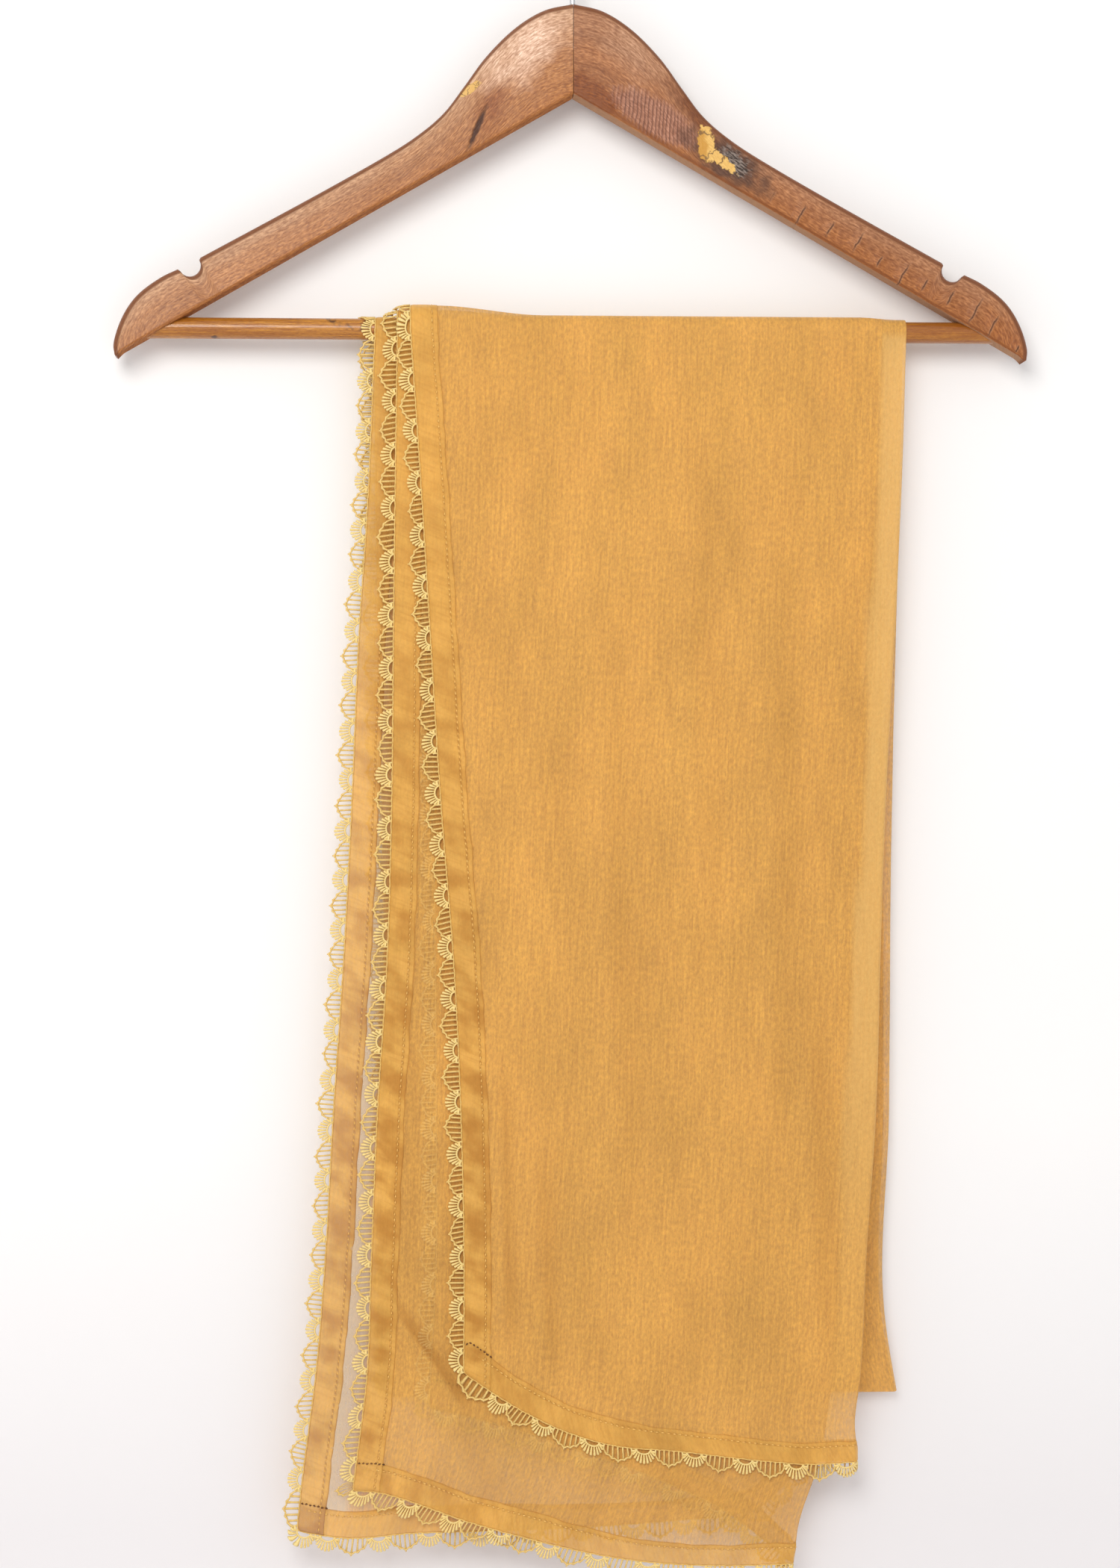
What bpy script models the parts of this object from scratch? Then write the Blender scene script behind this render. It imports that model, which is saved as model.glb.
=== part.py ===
"""Chiffon dupatta stole, folded in four and hung over the bar of a wooden clothes hanger.

The stole is one rectangular length. It is folded in its length with both ends together, then in its
width, and laid over the trouser bar, so each end (A and B) is a wall with a U-shaped section: an outer
leaf in front, a soft fold at the right and an inner leaf behind it. End B lies inside end A. Both ends
fall in front of the bar, pass over it and fall behind it to the mid-length fold.

Frame: origin at the seat inside the hook's bend, +X to the right, +Y to the back, +Z up.
The tables are in millimetres and the solids in metres.
"""
import math

import bpy
import bmesh
import numpy as np

MM = 0.001
GAP = 0.3
SHARP_ANGLE = math.radians(35)

# Hanger
ARM_THICKNESS = 14.0
ARM_EDGE_ROUNDING = 2.0
ARM_CROWN_HEIGHT = -63.4
ARM_APEX_HEIGHT = -107.4
ARM_UNDERSIDE_SLOPE = -0.577
ARM_TIP = (220.6, -234.6)
NOTCH_CENTRE = (184.8, -191.2)
NOTCH_RADIUS = 5.3
NOTCH_LEAN = math.radians(30)
BAR_DIAMETER = 10.3
BAR_HEIGHT = -220.8
BAR_HALF_LENGTH = 212.0
BAR_SOCKET_MIDDLE = 196.0
BAR_SIDES = 24
HOOK_WIRE_DIAMETER = 3.0
HOOK_INNER_RADIUS = 18.0
HOOK_NECK_RADIUS = 8.0
HOOK_SHANK_FOOT = -88.0
HOOK_TIP_ANGLE = math.radians(192)
HOOK_SIDES = 10

# Cloth
CLOTH_WALL = 1.0
HEM_WALL = 1.1
LACE_WALL = 1.0
HEM_WIDTH = 13.0
LACE_WIDTH = 7.7
RIPPLE_DEPTH = 1.6
RIPPLE_WIDTH = 230.0
RIPPLE_RISE = 160.0
RIPPLE_DRIFT = 1680.0
MID_FOLD_BOTTOM = -738.1

# Distance of each leaf's middle from the bar's axis, from the outermost to the one on the bar
LEAF_DEPTH = {"a_outer": 10.2, "b_outer": 8.8, "b_inner": 7.4, "a_inner": 6.0}

# Where the cloth's long edges and its folds lie in the front fall, a row for each height
COLUMNS = ("height", "a_outer", "b_outer", "b_inner", "a_inner", "a_fold", "b_fold")
FRONT_ROWS = (
    (-220.8, -78.6, -84.7, -76.0, -97.6, 162.1, 150.4),
    (-310.0, -72.6, -86.0, -72.0, -102.5, 158.7, 146.5),
    (-365.0, -69.2, -86.6, -70.0, -104.8, 156.2, 142.8),
    (-455.0, -63.5, -87.6, -67.5, -108.0, 151.5, 140.2),
    (-525.0, -57.8, -89.7, -66.5, -112.3, 149.2, 135.1),
    (-600.0, -54.2, -94.4, -66.0, -115.6, 147.0, 131.3),
    (-670.0, -52.7, -97.3, -66.0, -119.5, 142.4, 128.0),
    (-730.0, -53.0, -99.8, -69.0, -124.6, 139.2, 125.3),
    (-768.0, -53.4, -104.6, -71.5, -129.6, 137.3, 119.4),
    (-800.0, -54.0, -108.6, -73.0, -133.1, 136.6, 108.9),
    (-820.0, -54.0, -110.0, -74.0, -135.0, 136.0, 106.3),
)

# The same in the back fall, whose leaves meet in pairs at the mid-length fold
BACK_ROWS = (
    (-220.8, -78.6, -84.7, -76.0, -97.6, 162.1, 150.4),
    (-310.0, -80.0, -85.0, -78.0, -95.0, 160.3, 151.4),
    (-377.0, -82.0, -85.5, -79.5, -93.5, 158.6, 152.0),
    (-460.0, -84.0, -86.0, -81.5, -92.0, 156.8, 152.4),
    (-600.0, -86.0, -87.0, -85.0, -90.0, 155.6, 152.8),
    (-706.0, -87.5, -87.5, -88.5, -89.0, 154.2, 152.4),
    (-738.1, -88.0, -88.0, -89.0, -89.0, 158.0, 156.2),
)

# The short edge at the bottom of each leaf: height by place across
SHORT_EDGE = {
    "a_outer": ((-53.1, -724.2), (-28.0, -740.8), (-2.0, -753.5), (18.6, -760.5), (47.5, -763.7),
                (94.2, -768.6), (112.7, -769.2), (137.0, -767.5)),
    "b_outer": ((-106.6, -780.7), (-95.8, -781.4), (-73.6, -787.9), (-59.2, -793.4), (-24.6, -803.9),
                (29.5, -815.3), (70.0, -818.2), (106.3, -818.0)),
    "b_inner": ((-70.0, -741.1), (-30.0, -751.5), (5.0, -763.0), (42.5, -777.0), (75.0, -793.0),
                (106.3, -818.0)),
    "a_inner": ((-133.1, -800.0), (-110.2, -803.9), (-77.5, -802.1), (-51.6, -801.6), (47.5, -796.7),
                (78.4, -793.8), (104.0, -789.3), (137.0, -767.5)),
}

FRONT_COUNT = 14
BACK_COUNT = 9
OVER_BAR_COUNT = 10
LEAF_COUNT = 8
FOLD_COUNT = 5
HALF_TURN_COUNT = 5

FINISHES = {
    "chiffon": ((0.76, 0.42, 0.11), 0.75, 0.0),
    "hem_cloth": ((0.80, 0.46, 0.14), 0.65, 0.0),
    "lace_thread": ((0.93, 0.74, 0.33), 0.55, 0.0),
    "varnished_wood": ((0.47, 0.22, 0.10), 0.35, 0.0),
    "bar_wood": ((0.50, 0.24, 0.06), 0.40, 0.0),
    "hook_wire": ((0.80, 0.80, 0.82), 0.18, 1.0),
}


def finish(name):
    """One Principled material for each finish."""
    material = bpy.data.materials.get(name)
    if material is None:
        colour, roughness, metallic = FINISHES[name]
        material = bpy.data.materials.new(name)
        material.use_nodes = True
        shader = material.node_tree.nodes["Principled BSDF"]
        shader.inputs["Base Color"].default_value = (*colour, 1.0)
        shader.inputs["Roughness"].default_value = roughness
        shader.inputs["Metallic"].default_value = metallic
        material.diffuse_color = (*colour, 1.0)
    return material


def add_solid(name, points, faces, finish_name):
    """A named object from points in millimetres, with its faces turned outwards."""
    mesh = bpy.data.meshes.new(name)
    mesh.from_pydata((np.asarray(points) * MM).tolist(), [], [list(face) for face in faces])
    shape = bmesh.new()
    shape.from_mesh(mesh)
    bmesh.ops.recalc_face_normals(shape, faces=shape.faces)
    shape.to_mesh(mesh)
    shape.free()
    mesh.materials.append(finish(finish_name))
    mesh.shade_smooth()
    mesh.set_sharp_from_angle(angle=SHARP_ANGLE)
    solid = bpy.data.objects.new(name, mesh)
    bpy.context.collection.objects.link(solid)
    return solid


def add_wall(name, outer, inner, finish_name):
    """A closed wall between two skins, each an array of rows by columns of points."""
    rows, columns = outer.shape[:2]
    points = np.concatenate([outer.reshape(-1, 3), inner.reshape(-1, 3)])
    behind = rows * columns

    def at(row, column):
        return row * columns + column

    faces = []
    for row in range(rows - 1):
        for column in range(columns - 1):
            quad = (at(row, column), at(row, column + 1), at(row + 1, column + 1), at(row + 1, column))
            faces.append(quad)
            faces.append(tuple(behind + corner for corner in reversed(quad)))
    rim = [at(0, column) for column in range(columns - 1)]
    rim += [at(row, columns - 1) for row in range(rows - 1)]
    rim += [at(rows - 1, column) for column in range(columns - 1, 0, -1)]
    rim += [at(row, 0) for row in range(rows - 1, 0, -1)]
    for here, there in zip(rim, rim[1:] + rim[:1]):
        faces.append((there, here, behind + here, behind + there))
    return add_solid(name, points, faces, finish_name)


def smooth_curve(knots, values, at):
    """Cubic Hermite curve through the knots, level beyond both ends, with slopes from the neighbours."""
    knots = np.asarray(knots, float)
    values = np.asarray(values, float)
    slopes = np.gradient(values, knots)
    at = np.clip(at, knots[0], knots[-1])
    index = np.clip(np.searchsorted(knots, at) - 1, 0, len(knots) - 2)
    span = knots[index + 1] - knots[index]
    t = (at - knots[index]) / span
    blend = t * t * (3 - 2 * t)
    rise = values[index] * (1 - blend) + values[index + 1] * blend
    lift = t * (1 - t) * ((1 - t) * slopes[index] - t * slopes[index + 1]) * span
    return rise + lift


def column_at(stretch, column, height):
    """The value of one table column at a height in the front or the back fall."""
    rows = FRONT_ROWS if stretch == "front" else BACK_ROWS
    table = np.array(rows)[::-1]
    return smooth_curve(table[:, 0], table[:, COLUMNS.index(column)], height)


def short_edge_at(leaf, across):
    """Height of a leaf's short edge at a place across."""
    table = np.array(SHORT_EDGE[leaf])
    return smooth_curve(table[:, 0], table[:, 1], across)


def ripple(across, height):
    """The soft waves that every leaf shares, growing from nothing at the bar."""
    drop = np.clip((BAR_HEIGHT - height) / RIPPLE_RISE, 0, 1)
    growth = drop * drop * (3 - 2 * drop)
    turn = 2 * math.pi * (across / RIPPLE_WIDTH + height / RIPPLE_DRIFT)
    return RIPPLE_DEPTH * growth * np.sin(turn)


def fold_radius(end):
    """Radius of an end's soft fold, half the distance between its two leaves."""
    return (LEAF_DEPTH[end + "_outer"] - LEAF_DEPTH[end + "_inner"]) / 2


def fold_centre(stretch, end, height):
    """Where the fold's round starts, a radius and half a wall short of its ridge."""
    return column_at(stretch, end + "_fold", height) - fold_radius(end) - CLOTH_WALL / 2


def section(stretch, end, station, height, side, wall):
    """Place across and distance from the bar's axis of one station of the U-shaped section.

    A station is (part, share, inset): the share of the way along the outer leaf, round the fold or
    along the inner leaf, counted from inset inside the leaf's edge. Side is +1 on the outside skin
    and -1 on the inside one.
    """
    part, share, inset = station
    centre = fold_centre(stretch, end, height)
    if part == "fold":
        angle = math.pi * share
        radius = fold_radius(end) + side * wall / 2
        middle = (LEAF_DEPTH[end + "_outer"] + LEAF_DEPTH[end + "_inner"]) / 2
        return centre + radius * math.sin(angle), middle + radius * math.cos(angle) + 0 * height
    leaf = end + "_" + part
    left = column_at(stretch, leaf, height) + inset
    outward = side if part == "outer" else -side
    return left + (centre - left) * share, LEAF_DEPTH[leaf] + outward * wall / 2 + 0 * height


def floor_of(end, station, rise):
    """Height where a column meets the short edge, found by a few steps between the two curves."""
    part = station[0]
    if part == "fold":
        across = column_at("front", end + "_fold", SHORT_EDGE[end + "_outer"][-1][1])
        return short_edge_at(end + "_outer", across) + rise
    leaf = end + "_" + part
    height = np.array(SHORT_EDGE[leaf][0][1] + rise)
    for step in range(8):
        across = section("front", end, station, height, 1, 0.0)[0]
        height = short_edge_at(leaf, across) + rise
    return float(height)


def fall_points(stretch, across, depth, height):
    """Points of the front or back fall."""
    sign = -1 if stretch == "front" else 1
    return np.stack([across, sign * depth + ripple(across, height), height], axis=-1)


def fall_skin(stretch, end, stations, tops, floors, count, side, wall):
    """One skin of a fall: a column of points for each station, from its top to its floor."""
    columns = []
    for station, top, floor in zip(stations, tops, floors):
        height = np.linspace(top, floor, count + 1)
        across, depth = section(stretch, end, station, height, side, wall)
        columns.append(fall_points(stretch, across, depth, height))
    return np.stack(columns, axis=1)


def over_bar_skin(end, stations, side, wall):
    """One skin over the bar: each station swept through a half-turn about the bar's axis."""
    angle = np.linspace(0, math.pi, OVER_BAR_COUNT + 1)
    columns = []
    for station in stations:
        across, depth = section("front", end, station, np.array(BAR_HEIGHT), side, wall)
        rise = BAR_HEIGHT + GAP / 2 + depth * np.sin(angle)
        columns.append(np.stack([across + 0 * angle, -depth * np.cos(angle), rise], axis=-1))
    return np.stack(columns, axis=1)


def u_stations(leaf_count, edges=()):
    """Stations right round the U: the outer leaf, the fold and the inner leaf.

    Edges are the insets of further columns beside the first and the last one, outermost first.
    """
    outer = [("outer", 0, inset) for inset in edges]
    outer += [("outer", share, HEM_WIDTH) for share in np.linspace(0, 1, leaf_count + 1)[:-1]]
    fold = [("fold", share, 0) for share in np.linspace(0, 1, FOLD_COUNT + 1)]
    inner = [("inner",) + station[1:] for station in reversed(outer)]
    return outer + fold + inner


def back_floor():
    """Height where the back falls stop, just above the mid-length fold's round."""
    return MID_FOLD_BOTTOM + fold_radius("b") + CLOTH_WALL / 2 + GAP


def add_panels(end):
    """The cloth of one end inside its hems: front fall, over the bar and back fall."""
    stations = u_stations(LEAF_COUNT)
    level = [BAR_HEIGHT - GAP / 2] * len(stations)
    floors = [floor_of(end, station, HEM_WIDTH) for station in stations]
    skins = [fall_skin("front", end, stations, level, floors, FRONT_COUNT, side, CLOTH_WALL)
             for side in (1, -1)]
    add_wall("end_" + end + "_front", *skins, "chiffon")
    skins = [over_bar_skin(end, u_stations(2), side, CLOTH_WALL) for side in (1, -1)]
    add_wall("end_" + end + "_over_bar", *skins, "chiffon")
    floors = [back_floor()] * len(stations)
    skins = [fall_skin("back", end, stations, level, floors, BACK_COUNT, side, CLOTH_WALL)
             for side in (1, -1)]
    add_wall("end_" + end + "_back", *skins, "chiffon")


def strip_skins(stretch, leaf, start, stop, wall, foot):
    """Both skins of a long strip beside a leaf's edge, from one offset to another.

    Foot is how far above the short edge the strip stops, used in the front fall only.
    """
    end, part = leaf.split("_")
    skins = []
    for side in (1, -1):
        stations = [(part, 0, start), (part, 0, stop)]
        if stretch == "over_bar":
            skins.append(over_bar_skin(end, stations, side, wall))
            continue
        if stretch == "front":
            floors, count = [floor_of(end, station, foot) for station in stations], FRONT_COUNT
        else:
            floors, count = [back_floor()] * 2, BACK_COUNT
        tops = [BAR_HEIGHT - GAP / 2] * 2
        skins.append(fall_skin(stretch, end, stations, tops, floors, count, side, wall))
    return skins


def add_long_trim(leaf):
    """The long hem and its lace on one leaf, in three stretches each."""
    for stretch in ("front", "over_bar", "back"):
        skins = strip_skins(stretch, leaf, 0.0, HEM_WIDTH - GAP, HEM_WALL, HEM_WIDTH)
        add_wall("hem_" + leaf + "_" + stretch, *skins, "hem_cloth")
        skins = strip_skins(stretch, leaf, -LACE_WIDTH, -GAP, LACE_WALL, 0.0)
        add_wall("lace_" + leaf + "_" + stretch, *skins, "lace_thread")


def short_strip_skins(end, edges, low, high, wall):
    """Both skins of a strip along an end's short edge, round the fold, from low to high above it."""
    stations = u_stations(LEAF_COUNT, edges)
    tops = [floor_of(end, station, high) for station in stations]
    floors = [floor_of(end, station, low) for station in stations]
    return [fall_skin("front", end, stations, tops, floors, 1, side, wall) for side in (1, -1)]


def add_short_trim(end):
    """The short hem of one end and the lace under it, each running round the fold."""
    skins = short_strip_skins(end, (0.0,), 0.0, HEM_WIDTH - GAP, HEM_WALL)
    add_wall("hem_" + end + "_short", *skins, "hem_cloth")
    skins = short_strip_skins(end, (-LACE_WIDTH, 0.0), -LACE_WIDTH, -GAP, LACE_WALL)
    add_wall("lace_" + end + "_short", *skins, "lace_thread")


def add_mid_fold(name, leaf, partner, start, stop, wall, finish_name, columns):
    """A half-turn at the bottom of the back that joins one leaf of end A to one of end B."""
    middle = (LEAF_DEPTH[leaf] + LEAF_DEPTH[partner]) / 2
    radius = abs(LEAF_DEPTH[leaf] - LEAF_DEPTH[partner]) / 2
    axis_height = MID_FOLD_BOTTOM + radius + CLOTH_WALL / 2
    left = column_at("back", leaf, MID_FOLD_BOTTOM)
    right = fold_centre("back", "b", MID_FOLD_BOTTOM)
    across = np.linspace(left + start, right if stop is None else left + stop, columns + 1)
    angle = np.linspace(0, math.pi, HALF_TURN_COUNT + 1)[:, None]
    skins = []
    for side in (1, -1):
        reach = radius + side * wall / 2
        depth = middle + reach * np.cos(angle) + 0 * across
        height = axis_height - reach * np.sin(angle) + 0 * across
        place = np.stack([across + 0 * depth, depth + ripple(across, axis_height), height], axis=-1)
        skins.append(place)
    add_wall(name, *skins, finish_name)


def spline(points, count):
    """Catmull-Rom curve through the points, with count steps between each pair."""
    points = np.asarray(points, float)
    padded = np.vstack([2 * points[0] - points[1], points, 2 * points[-1] - points[-2]])
    before, start, stop, after = padded[:-3], padded[1:-2], padded[2:-1], padded[3:]
    t = np.linspace(0, 1, count, endpoint=False)[None, :, None]
    before, start, stop, after = (part[:, None, :] for part in (before, start, stop, after))
    curve = 0.5 * (2 * start + (stop - before) * t + (2 * before - 5 * start + 4 * stop - after) * t**2
                   + (3 * start - before - 3 * stop + after) * t**3)
    return np.vstack([curve.reshape(-1, 2), points[-1]])


# Upper edge of an arm from the crown to the notch, and its end from the notch to the tip
CROWN_POINTS = ((GAP / 2, ARM_CROWN_HEIGHT), (14.5, -66.9), (28.5, -75.7), (42.0, -89.2), (53.0, -104.2),
                (62.5, -116.7), (74.0, -126.8), (90.0, -137.4), (125.0, -157.4), (179.6, -187.4))
END_POINTS = ((190.6, -193.1), (198.5, -197.0), (207.5, -203.4), (213.5, -210.0), (218.2, -218.6),
              (221.2, -228.5), ARM_TIP)


def arm_outline():
    """Outline of the right arm, clockwise from the crown: upper edge, notch, end and underside."""
    notch_angles = math.pi - NOTCH_LEAN + np.linspace(0, math.pi, 10)
    notch = np.stack([NOTCH_CENTRE[0] + NOTCH_RADIUS * np.cos(notch_angles),
                      NOTCH_CENTRE[1] + NOTCH_RADIUS * np.sin(notch_angles)], axis=1)
    foot = (216.8, ARM_APEX_HEIGHT + ARM_UNDERSIDE_SLOPE * 216.8)
    apex = (GAP / 2, ARM_APEX_HEIGHT + ARM_UNDERSIDE_SLOPE * GAP / 2)
    return np.vstack([spline(CROWN_POINTS, 3), notch, spline(END_POINTS, 2), [foot, apex]])


def inset_outline(outline, distance):
    """The outline moved inwards, except along the mitre, where it only slides up or down."""
    ahead = np.roll(outline, -1, axis=0) - outline
    ahead /= np.linalg.norm(ahead, axis=1)[:, None]
    behind = np.roll(ahead, 1, axis=0)
    inward = np.stack([ahead[:, 1], -ahead[:, 0]], axis=1)
    inward_behind = np.roll(inward, 1, axis=0)
    bisector = inward + inward_behind
    stretch = 1 + np.sum(ahead * behind, axis=1)
    moved = outline + distance * bisector / np.maximum(stretch, 0.5)[:, None]
    moved[0] = (outline[0][0], outline[0][1] - distance)
    moved[-1] = (outline[-1][0], outline[-1][1] + distance)
    return moved


def add_arm(name, hand):
    """One arm: its outline in rings from the front face round the eased edge to the back face."""
    outline = arm_outline()
    half = ARM_THICKNESS / 2
    easing = ARM_EDGE_ROUNDING
    corner = easing * (1 - math.sqrt(0.5))
    profile = [(easing, -half), (corner, -half + corner), (0.0, -half + easing)]
    profile += [(inset, -place) for inset, place in reversed(profile)]
    rings = []
    for inset, place in profile:
        ring = inset_outline(outline, inset)
        rings.append(np.stack([hand * ring[:, 0], np.full(len(ring), place), ring[:, 1]], axis=1))
    count = len(outline)
    faces = [tuple(range(count)), tuple((len(rings) - 1) * count + k for k in reversed(range(count)))]
    for ring in range(len(rings) - 1):
        for k in range(count):
            here, there = ring * count + k, ring * count + (k + 1) % count
            faces.append((here, there, there + count, here + count))
    arm = add_solid(name, np.vstack(rings), faces, "varnished_wood")
    cut(arm, "bar_socket", (1, 0, 0), (hand * BAR_SOCKET_MIDDLE, 0, BAR_HEIGHT),
        BAR_DIAMETER / 2 + GAP, 2 * (BAR_HALF_LENGTH + GAP - BAR_SOCKET_MIDDLE))
    shank_length = ARM_CROWN_HEIGHT - HOOK_SHANK_FOOT
    cut(arm, "hook_socket", (0, 0, 1), (0, 0, HOOK_SHANK_FOOT - GAP + shank_length),
        HOOK_WIRE_DIAMETER / 2 + GAP, 2 * shank_length)
    return arm


def cut(solid, cutter_name, axis, centre, radius, length):
    """Takes a round hole out of a solid with a cutter along X or Z."""
    shape = bmesh.new()
    bmesh.ops.create_cone(shape, cap_ends=True, segments=BAR_SIDES, radius1=radius * MM,
                          radius2=radius * MM, depth=length * MM)
    mesh = bpy.data.meshes.new(cutter_name)
    shape.to_mesh(mesh)
    shape.free()
    cutter = bpy.data.objects.new(solid.name + "_" + cutter_name, mesh)
    cutter.location = [part * MM for part in centre]
    cutter.rotation_euler = (0, math.pi / 2, 0) if axis[0] else (0, 0, 0)
    cutter.hide_render = True
    cutter.display_type = "WIRE"
    bpy.context.collection.objects.link(cutter)
    boolean = solid.modifiers.new(cutter_name, "BOOLEAN")
    boolean.operation = "DIFFERENCE"
    boolean.object = cutter


def add_rod(name, path, radius, sides, finish_name):
    """A round rod along a path in the XZ plane, with flat ends."""
    path = np.asarray(path, float)
    along = np.gradient(path, axis=0)
    along /= np.linalg.norm(along, axis=1)[:, None]
    across = np.stack([-along[:, 1], along[:, 0]], axis=1)
    angle = np.linspace(0, 2 * math.pi, sides, endpoint=False)
    rings = np.zeros((len(path), sides, 3))
    rings[:, :, 0] = path[:, None, 0] + radius * np.cos(angle) * across[:, None, 0]
    rings[:, :, 1] = radius * np.sin(angle)
    rings[:, :, 2] = path[:, None, 1] + radius * np.cos(angle) * across[:, None, 1]
    last = (len(path) - 1) * sides
    faces = [tuple(reversed(range(sides))), tuple(last + k for k in range(sides))]
    for ring in range(len(path) - 1):
        for k in range(sides):
            here, there = ring * sides + k, ring * sides + (k + 1) % sides
            faces.append((here, there, there + sides, here + sides))
    return add_solid(name, rings.reshape(-1, 3), faces, finish_name)


def hook_path():
    """Middle of the wire: straight shank, small round to the right, large round over the seat."""
    wire = HOOK_WIRE_DIAMETER / 2
    bend = HOOK_INNER_RADIUS + wire
    neck = HOOK_NECK_RADIUS
    bend_height = -HOOK_INNER_RADIUS
    neck_height = bend_height - math.sqrt((bend + neck) ** 2 - neck ** 2)
    meet = math.atan2(neck_height - bend_height, neck)
    shank = [(0.0, HOOK_SHANK_FOOT), (0.0, (HOOK_SHANK_FOOT + neck_height) / 2)]
    turn = np.linspace(math.pi, math.pi + meet, 7)
    small = [(neck + neck * math.cos(a), neck_height + neck * math.sin(a)) for a in turn]
    sweep = np.linspace(meet, HOOK_TIP_ANGLE, 30)[1:]
    large = [(bend * math.cos(a), bend_height + bend * math.sin(a)) for a in sweep]
    return shank + small + large


def main():
    """Builds every piece of the stole and its hanger."""
    for item in list(bpy.data.objects):
        bpy.data.objects.remove(item)
    add_arm("hanger_arm_left", -1)
    add_arm("hanger_arm_right", 1)
    add_rod("trouser_bar", [(-BAR_HALF_LENGTH, BAR_HEIGHT), (BAR_HALF_LENGTH, BAR_HEIGHT)],
            BAR_DIAMETER / 2, BAR_SIDES, "bar_wood")
    add_rod("hanger_hook", hook_path(), HOOK_WIRE_DIAMETER / 2, HOOK_SIDES, "hook_wire")
    for end in ("a", "b"):
        add_panels(end)
        add_short_trim(end)
    for leaf in LEAF_DEPTH:
        add_long_trim(leaf)
    for side, partner in (("outer", "b_outer"), ("inner", "b_inner")):
        leaf = "a_" + side
        add_mid_fold("mid_fold_" + side, leaf, partner, HEM_WIDTH, None, CLOTH_WALL, "chiffon", LEAF_COUNT)
        add_mid_fold("hem_fold_" + side, leaf, partner, 0.0, HEM_WIDTH - GAP, HEM_WALL, "hem_cloth", 1)
        add_mid_fold("lace_fold_" + side, leaf, partner, -LACE_WIDTH, -GAP, LACE_WALL, "lace_thread", 1)


main()
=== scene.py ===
"""Builds a lace edged chiffon stole folded over a wooden clothes hanger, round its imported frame.

Tables and working values are in millimetres, with +X to the right, +Y to the back and +Z up.
"""
import math

import bpy
import numpy as np
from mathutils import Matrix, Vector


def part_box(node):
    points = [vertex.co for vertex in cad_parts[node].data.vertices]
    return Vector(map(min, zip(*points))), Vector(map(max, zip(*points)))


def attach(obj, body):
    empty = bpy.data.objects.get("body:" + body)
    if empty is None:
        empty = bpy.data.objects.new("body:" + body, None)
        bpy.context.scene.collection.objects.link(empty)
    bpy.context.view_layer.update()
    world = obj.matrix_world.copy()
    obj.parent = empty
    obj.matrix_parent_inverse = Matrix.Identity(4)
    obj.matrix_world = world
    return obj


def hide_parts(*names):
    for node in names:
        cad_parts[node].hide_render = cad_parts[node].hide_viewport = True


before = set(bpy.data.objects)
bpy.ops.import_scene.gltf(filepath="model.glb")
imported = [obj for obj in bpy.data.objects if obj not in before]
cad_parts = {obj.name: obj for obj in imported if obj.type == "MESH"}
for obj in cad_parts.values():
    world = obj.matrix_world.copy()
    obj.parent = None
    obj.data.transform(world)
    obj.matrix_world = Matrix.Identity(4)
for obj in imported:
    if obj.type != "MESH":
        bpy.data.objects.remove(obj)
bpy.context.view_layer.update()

bl_info = {
    "name": "Chiffon Stole On A Hanger",
    "version": (1, 0, 0),
    "blender": (4, 5, 0),
    "location": "3D View > Sidebar > Stole",
    "description": "Builds a chiffon stole with scalloped lace, folded over a wooden hanger",
    "category": "Add Mesh",
}

MM = 0.001
TAU = 2 * math.pi

# Places of the hanger's parts, read from the frame
BAR_LOW, BAR_HIGH = (np.array(corner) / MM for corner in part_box("trouser_bar"))
BAR_HEIGHT = (BAR_LOW[2] + BAR_HIGH[2]) / 2
BAR_RADIUS = (BAR_HIGH[2] - BAR_LOW[2]) / 2
BAR_HALF_LENGTH = (BAR_HIGH[0] - BAR_LOW[0]) / 2
ARM_LOW, ARM_HIGH = (np.array(corner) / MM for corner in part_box("hanger_arm_right"))
ARM_HALF_THICKNESS = (ARM_HIGH[1] - ARM_LOW[1]) / 2

# Outline of the right arm; the left one mirrors it
CROWN_POINTS = ((0.15, -63.4), (14.5, -66.9), (28.5, -75.7), (42.0, -89.2), (53.0, -104.2), (62.5, -116.7),
                (74.0, -126.8), (90.0, -137.4), (125.0, -157.4), (179.6, -187.4))
END_POINTS = ((190.6, -193.1), (198.5, -197.0), (207.5, -203.4), (213.5, -210.0), (218.2, -218.6),
              (221.2, -228.5), (220.6, -234.6))
NOTCH_CENTRE = (184.8, -191.2)
NOTCH_RADIUS = 5.3
NOTCH_LEAN = math.radians(30)
ARM_APEX_HEIGHT = -107.4
ARM_UNDERSIDE_SLOPE = -0.577
ARM_FOOT = (216.8, ARM_APEX_HEIGHT + ARM_UNDERSIDE_SLOPE * 216.8)
ARM_ANGLE = math.atan(ARM_UNDERSIDE_SLOPE)

# The hook's wire
HOOK_WIRE_RADIUS = 1.5
HOOK_INNER_RADIUS = 18.0
HOOK_NECK_RADIUS = 8.0
HOOK_SHANK_FOOT = -88.0
HOOK_TIP_ANGLE = math.radians(192)

# Cloth
OVER_BAR = 22.0
HEM_WIDTH = 13.0
HEM_OVERLAP = 2.0
STITCH_PLACE = 10.2
WAVE_WIDTH = 230.0
WAVE_RISE = 160.0
WAVE_DRIFT = 1680.0
MID_FOLD_BOTTOM = -738.1
MID_FOLD_RADIUS = 0.75
TURN_FLAT = 1.2
FOLD_FLAT = 4.0
FOLD_ROUND = {"a": 1.6, "b": 0.8}
LAYER = {"a_inner": 0, "b_inner": 1, "b_outer": 2, "a_outer": 3}
STRETCHES = ("front", "over_bar", "back")

# Distance of the floor of the back fall along the cloth, counted from the front of the bar
FLOOR_ALONG = OVER_BAR + BAR_HEIGHT - MID_FOLD_BOTTOM - MID_FOLD_RADIUS

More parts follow.
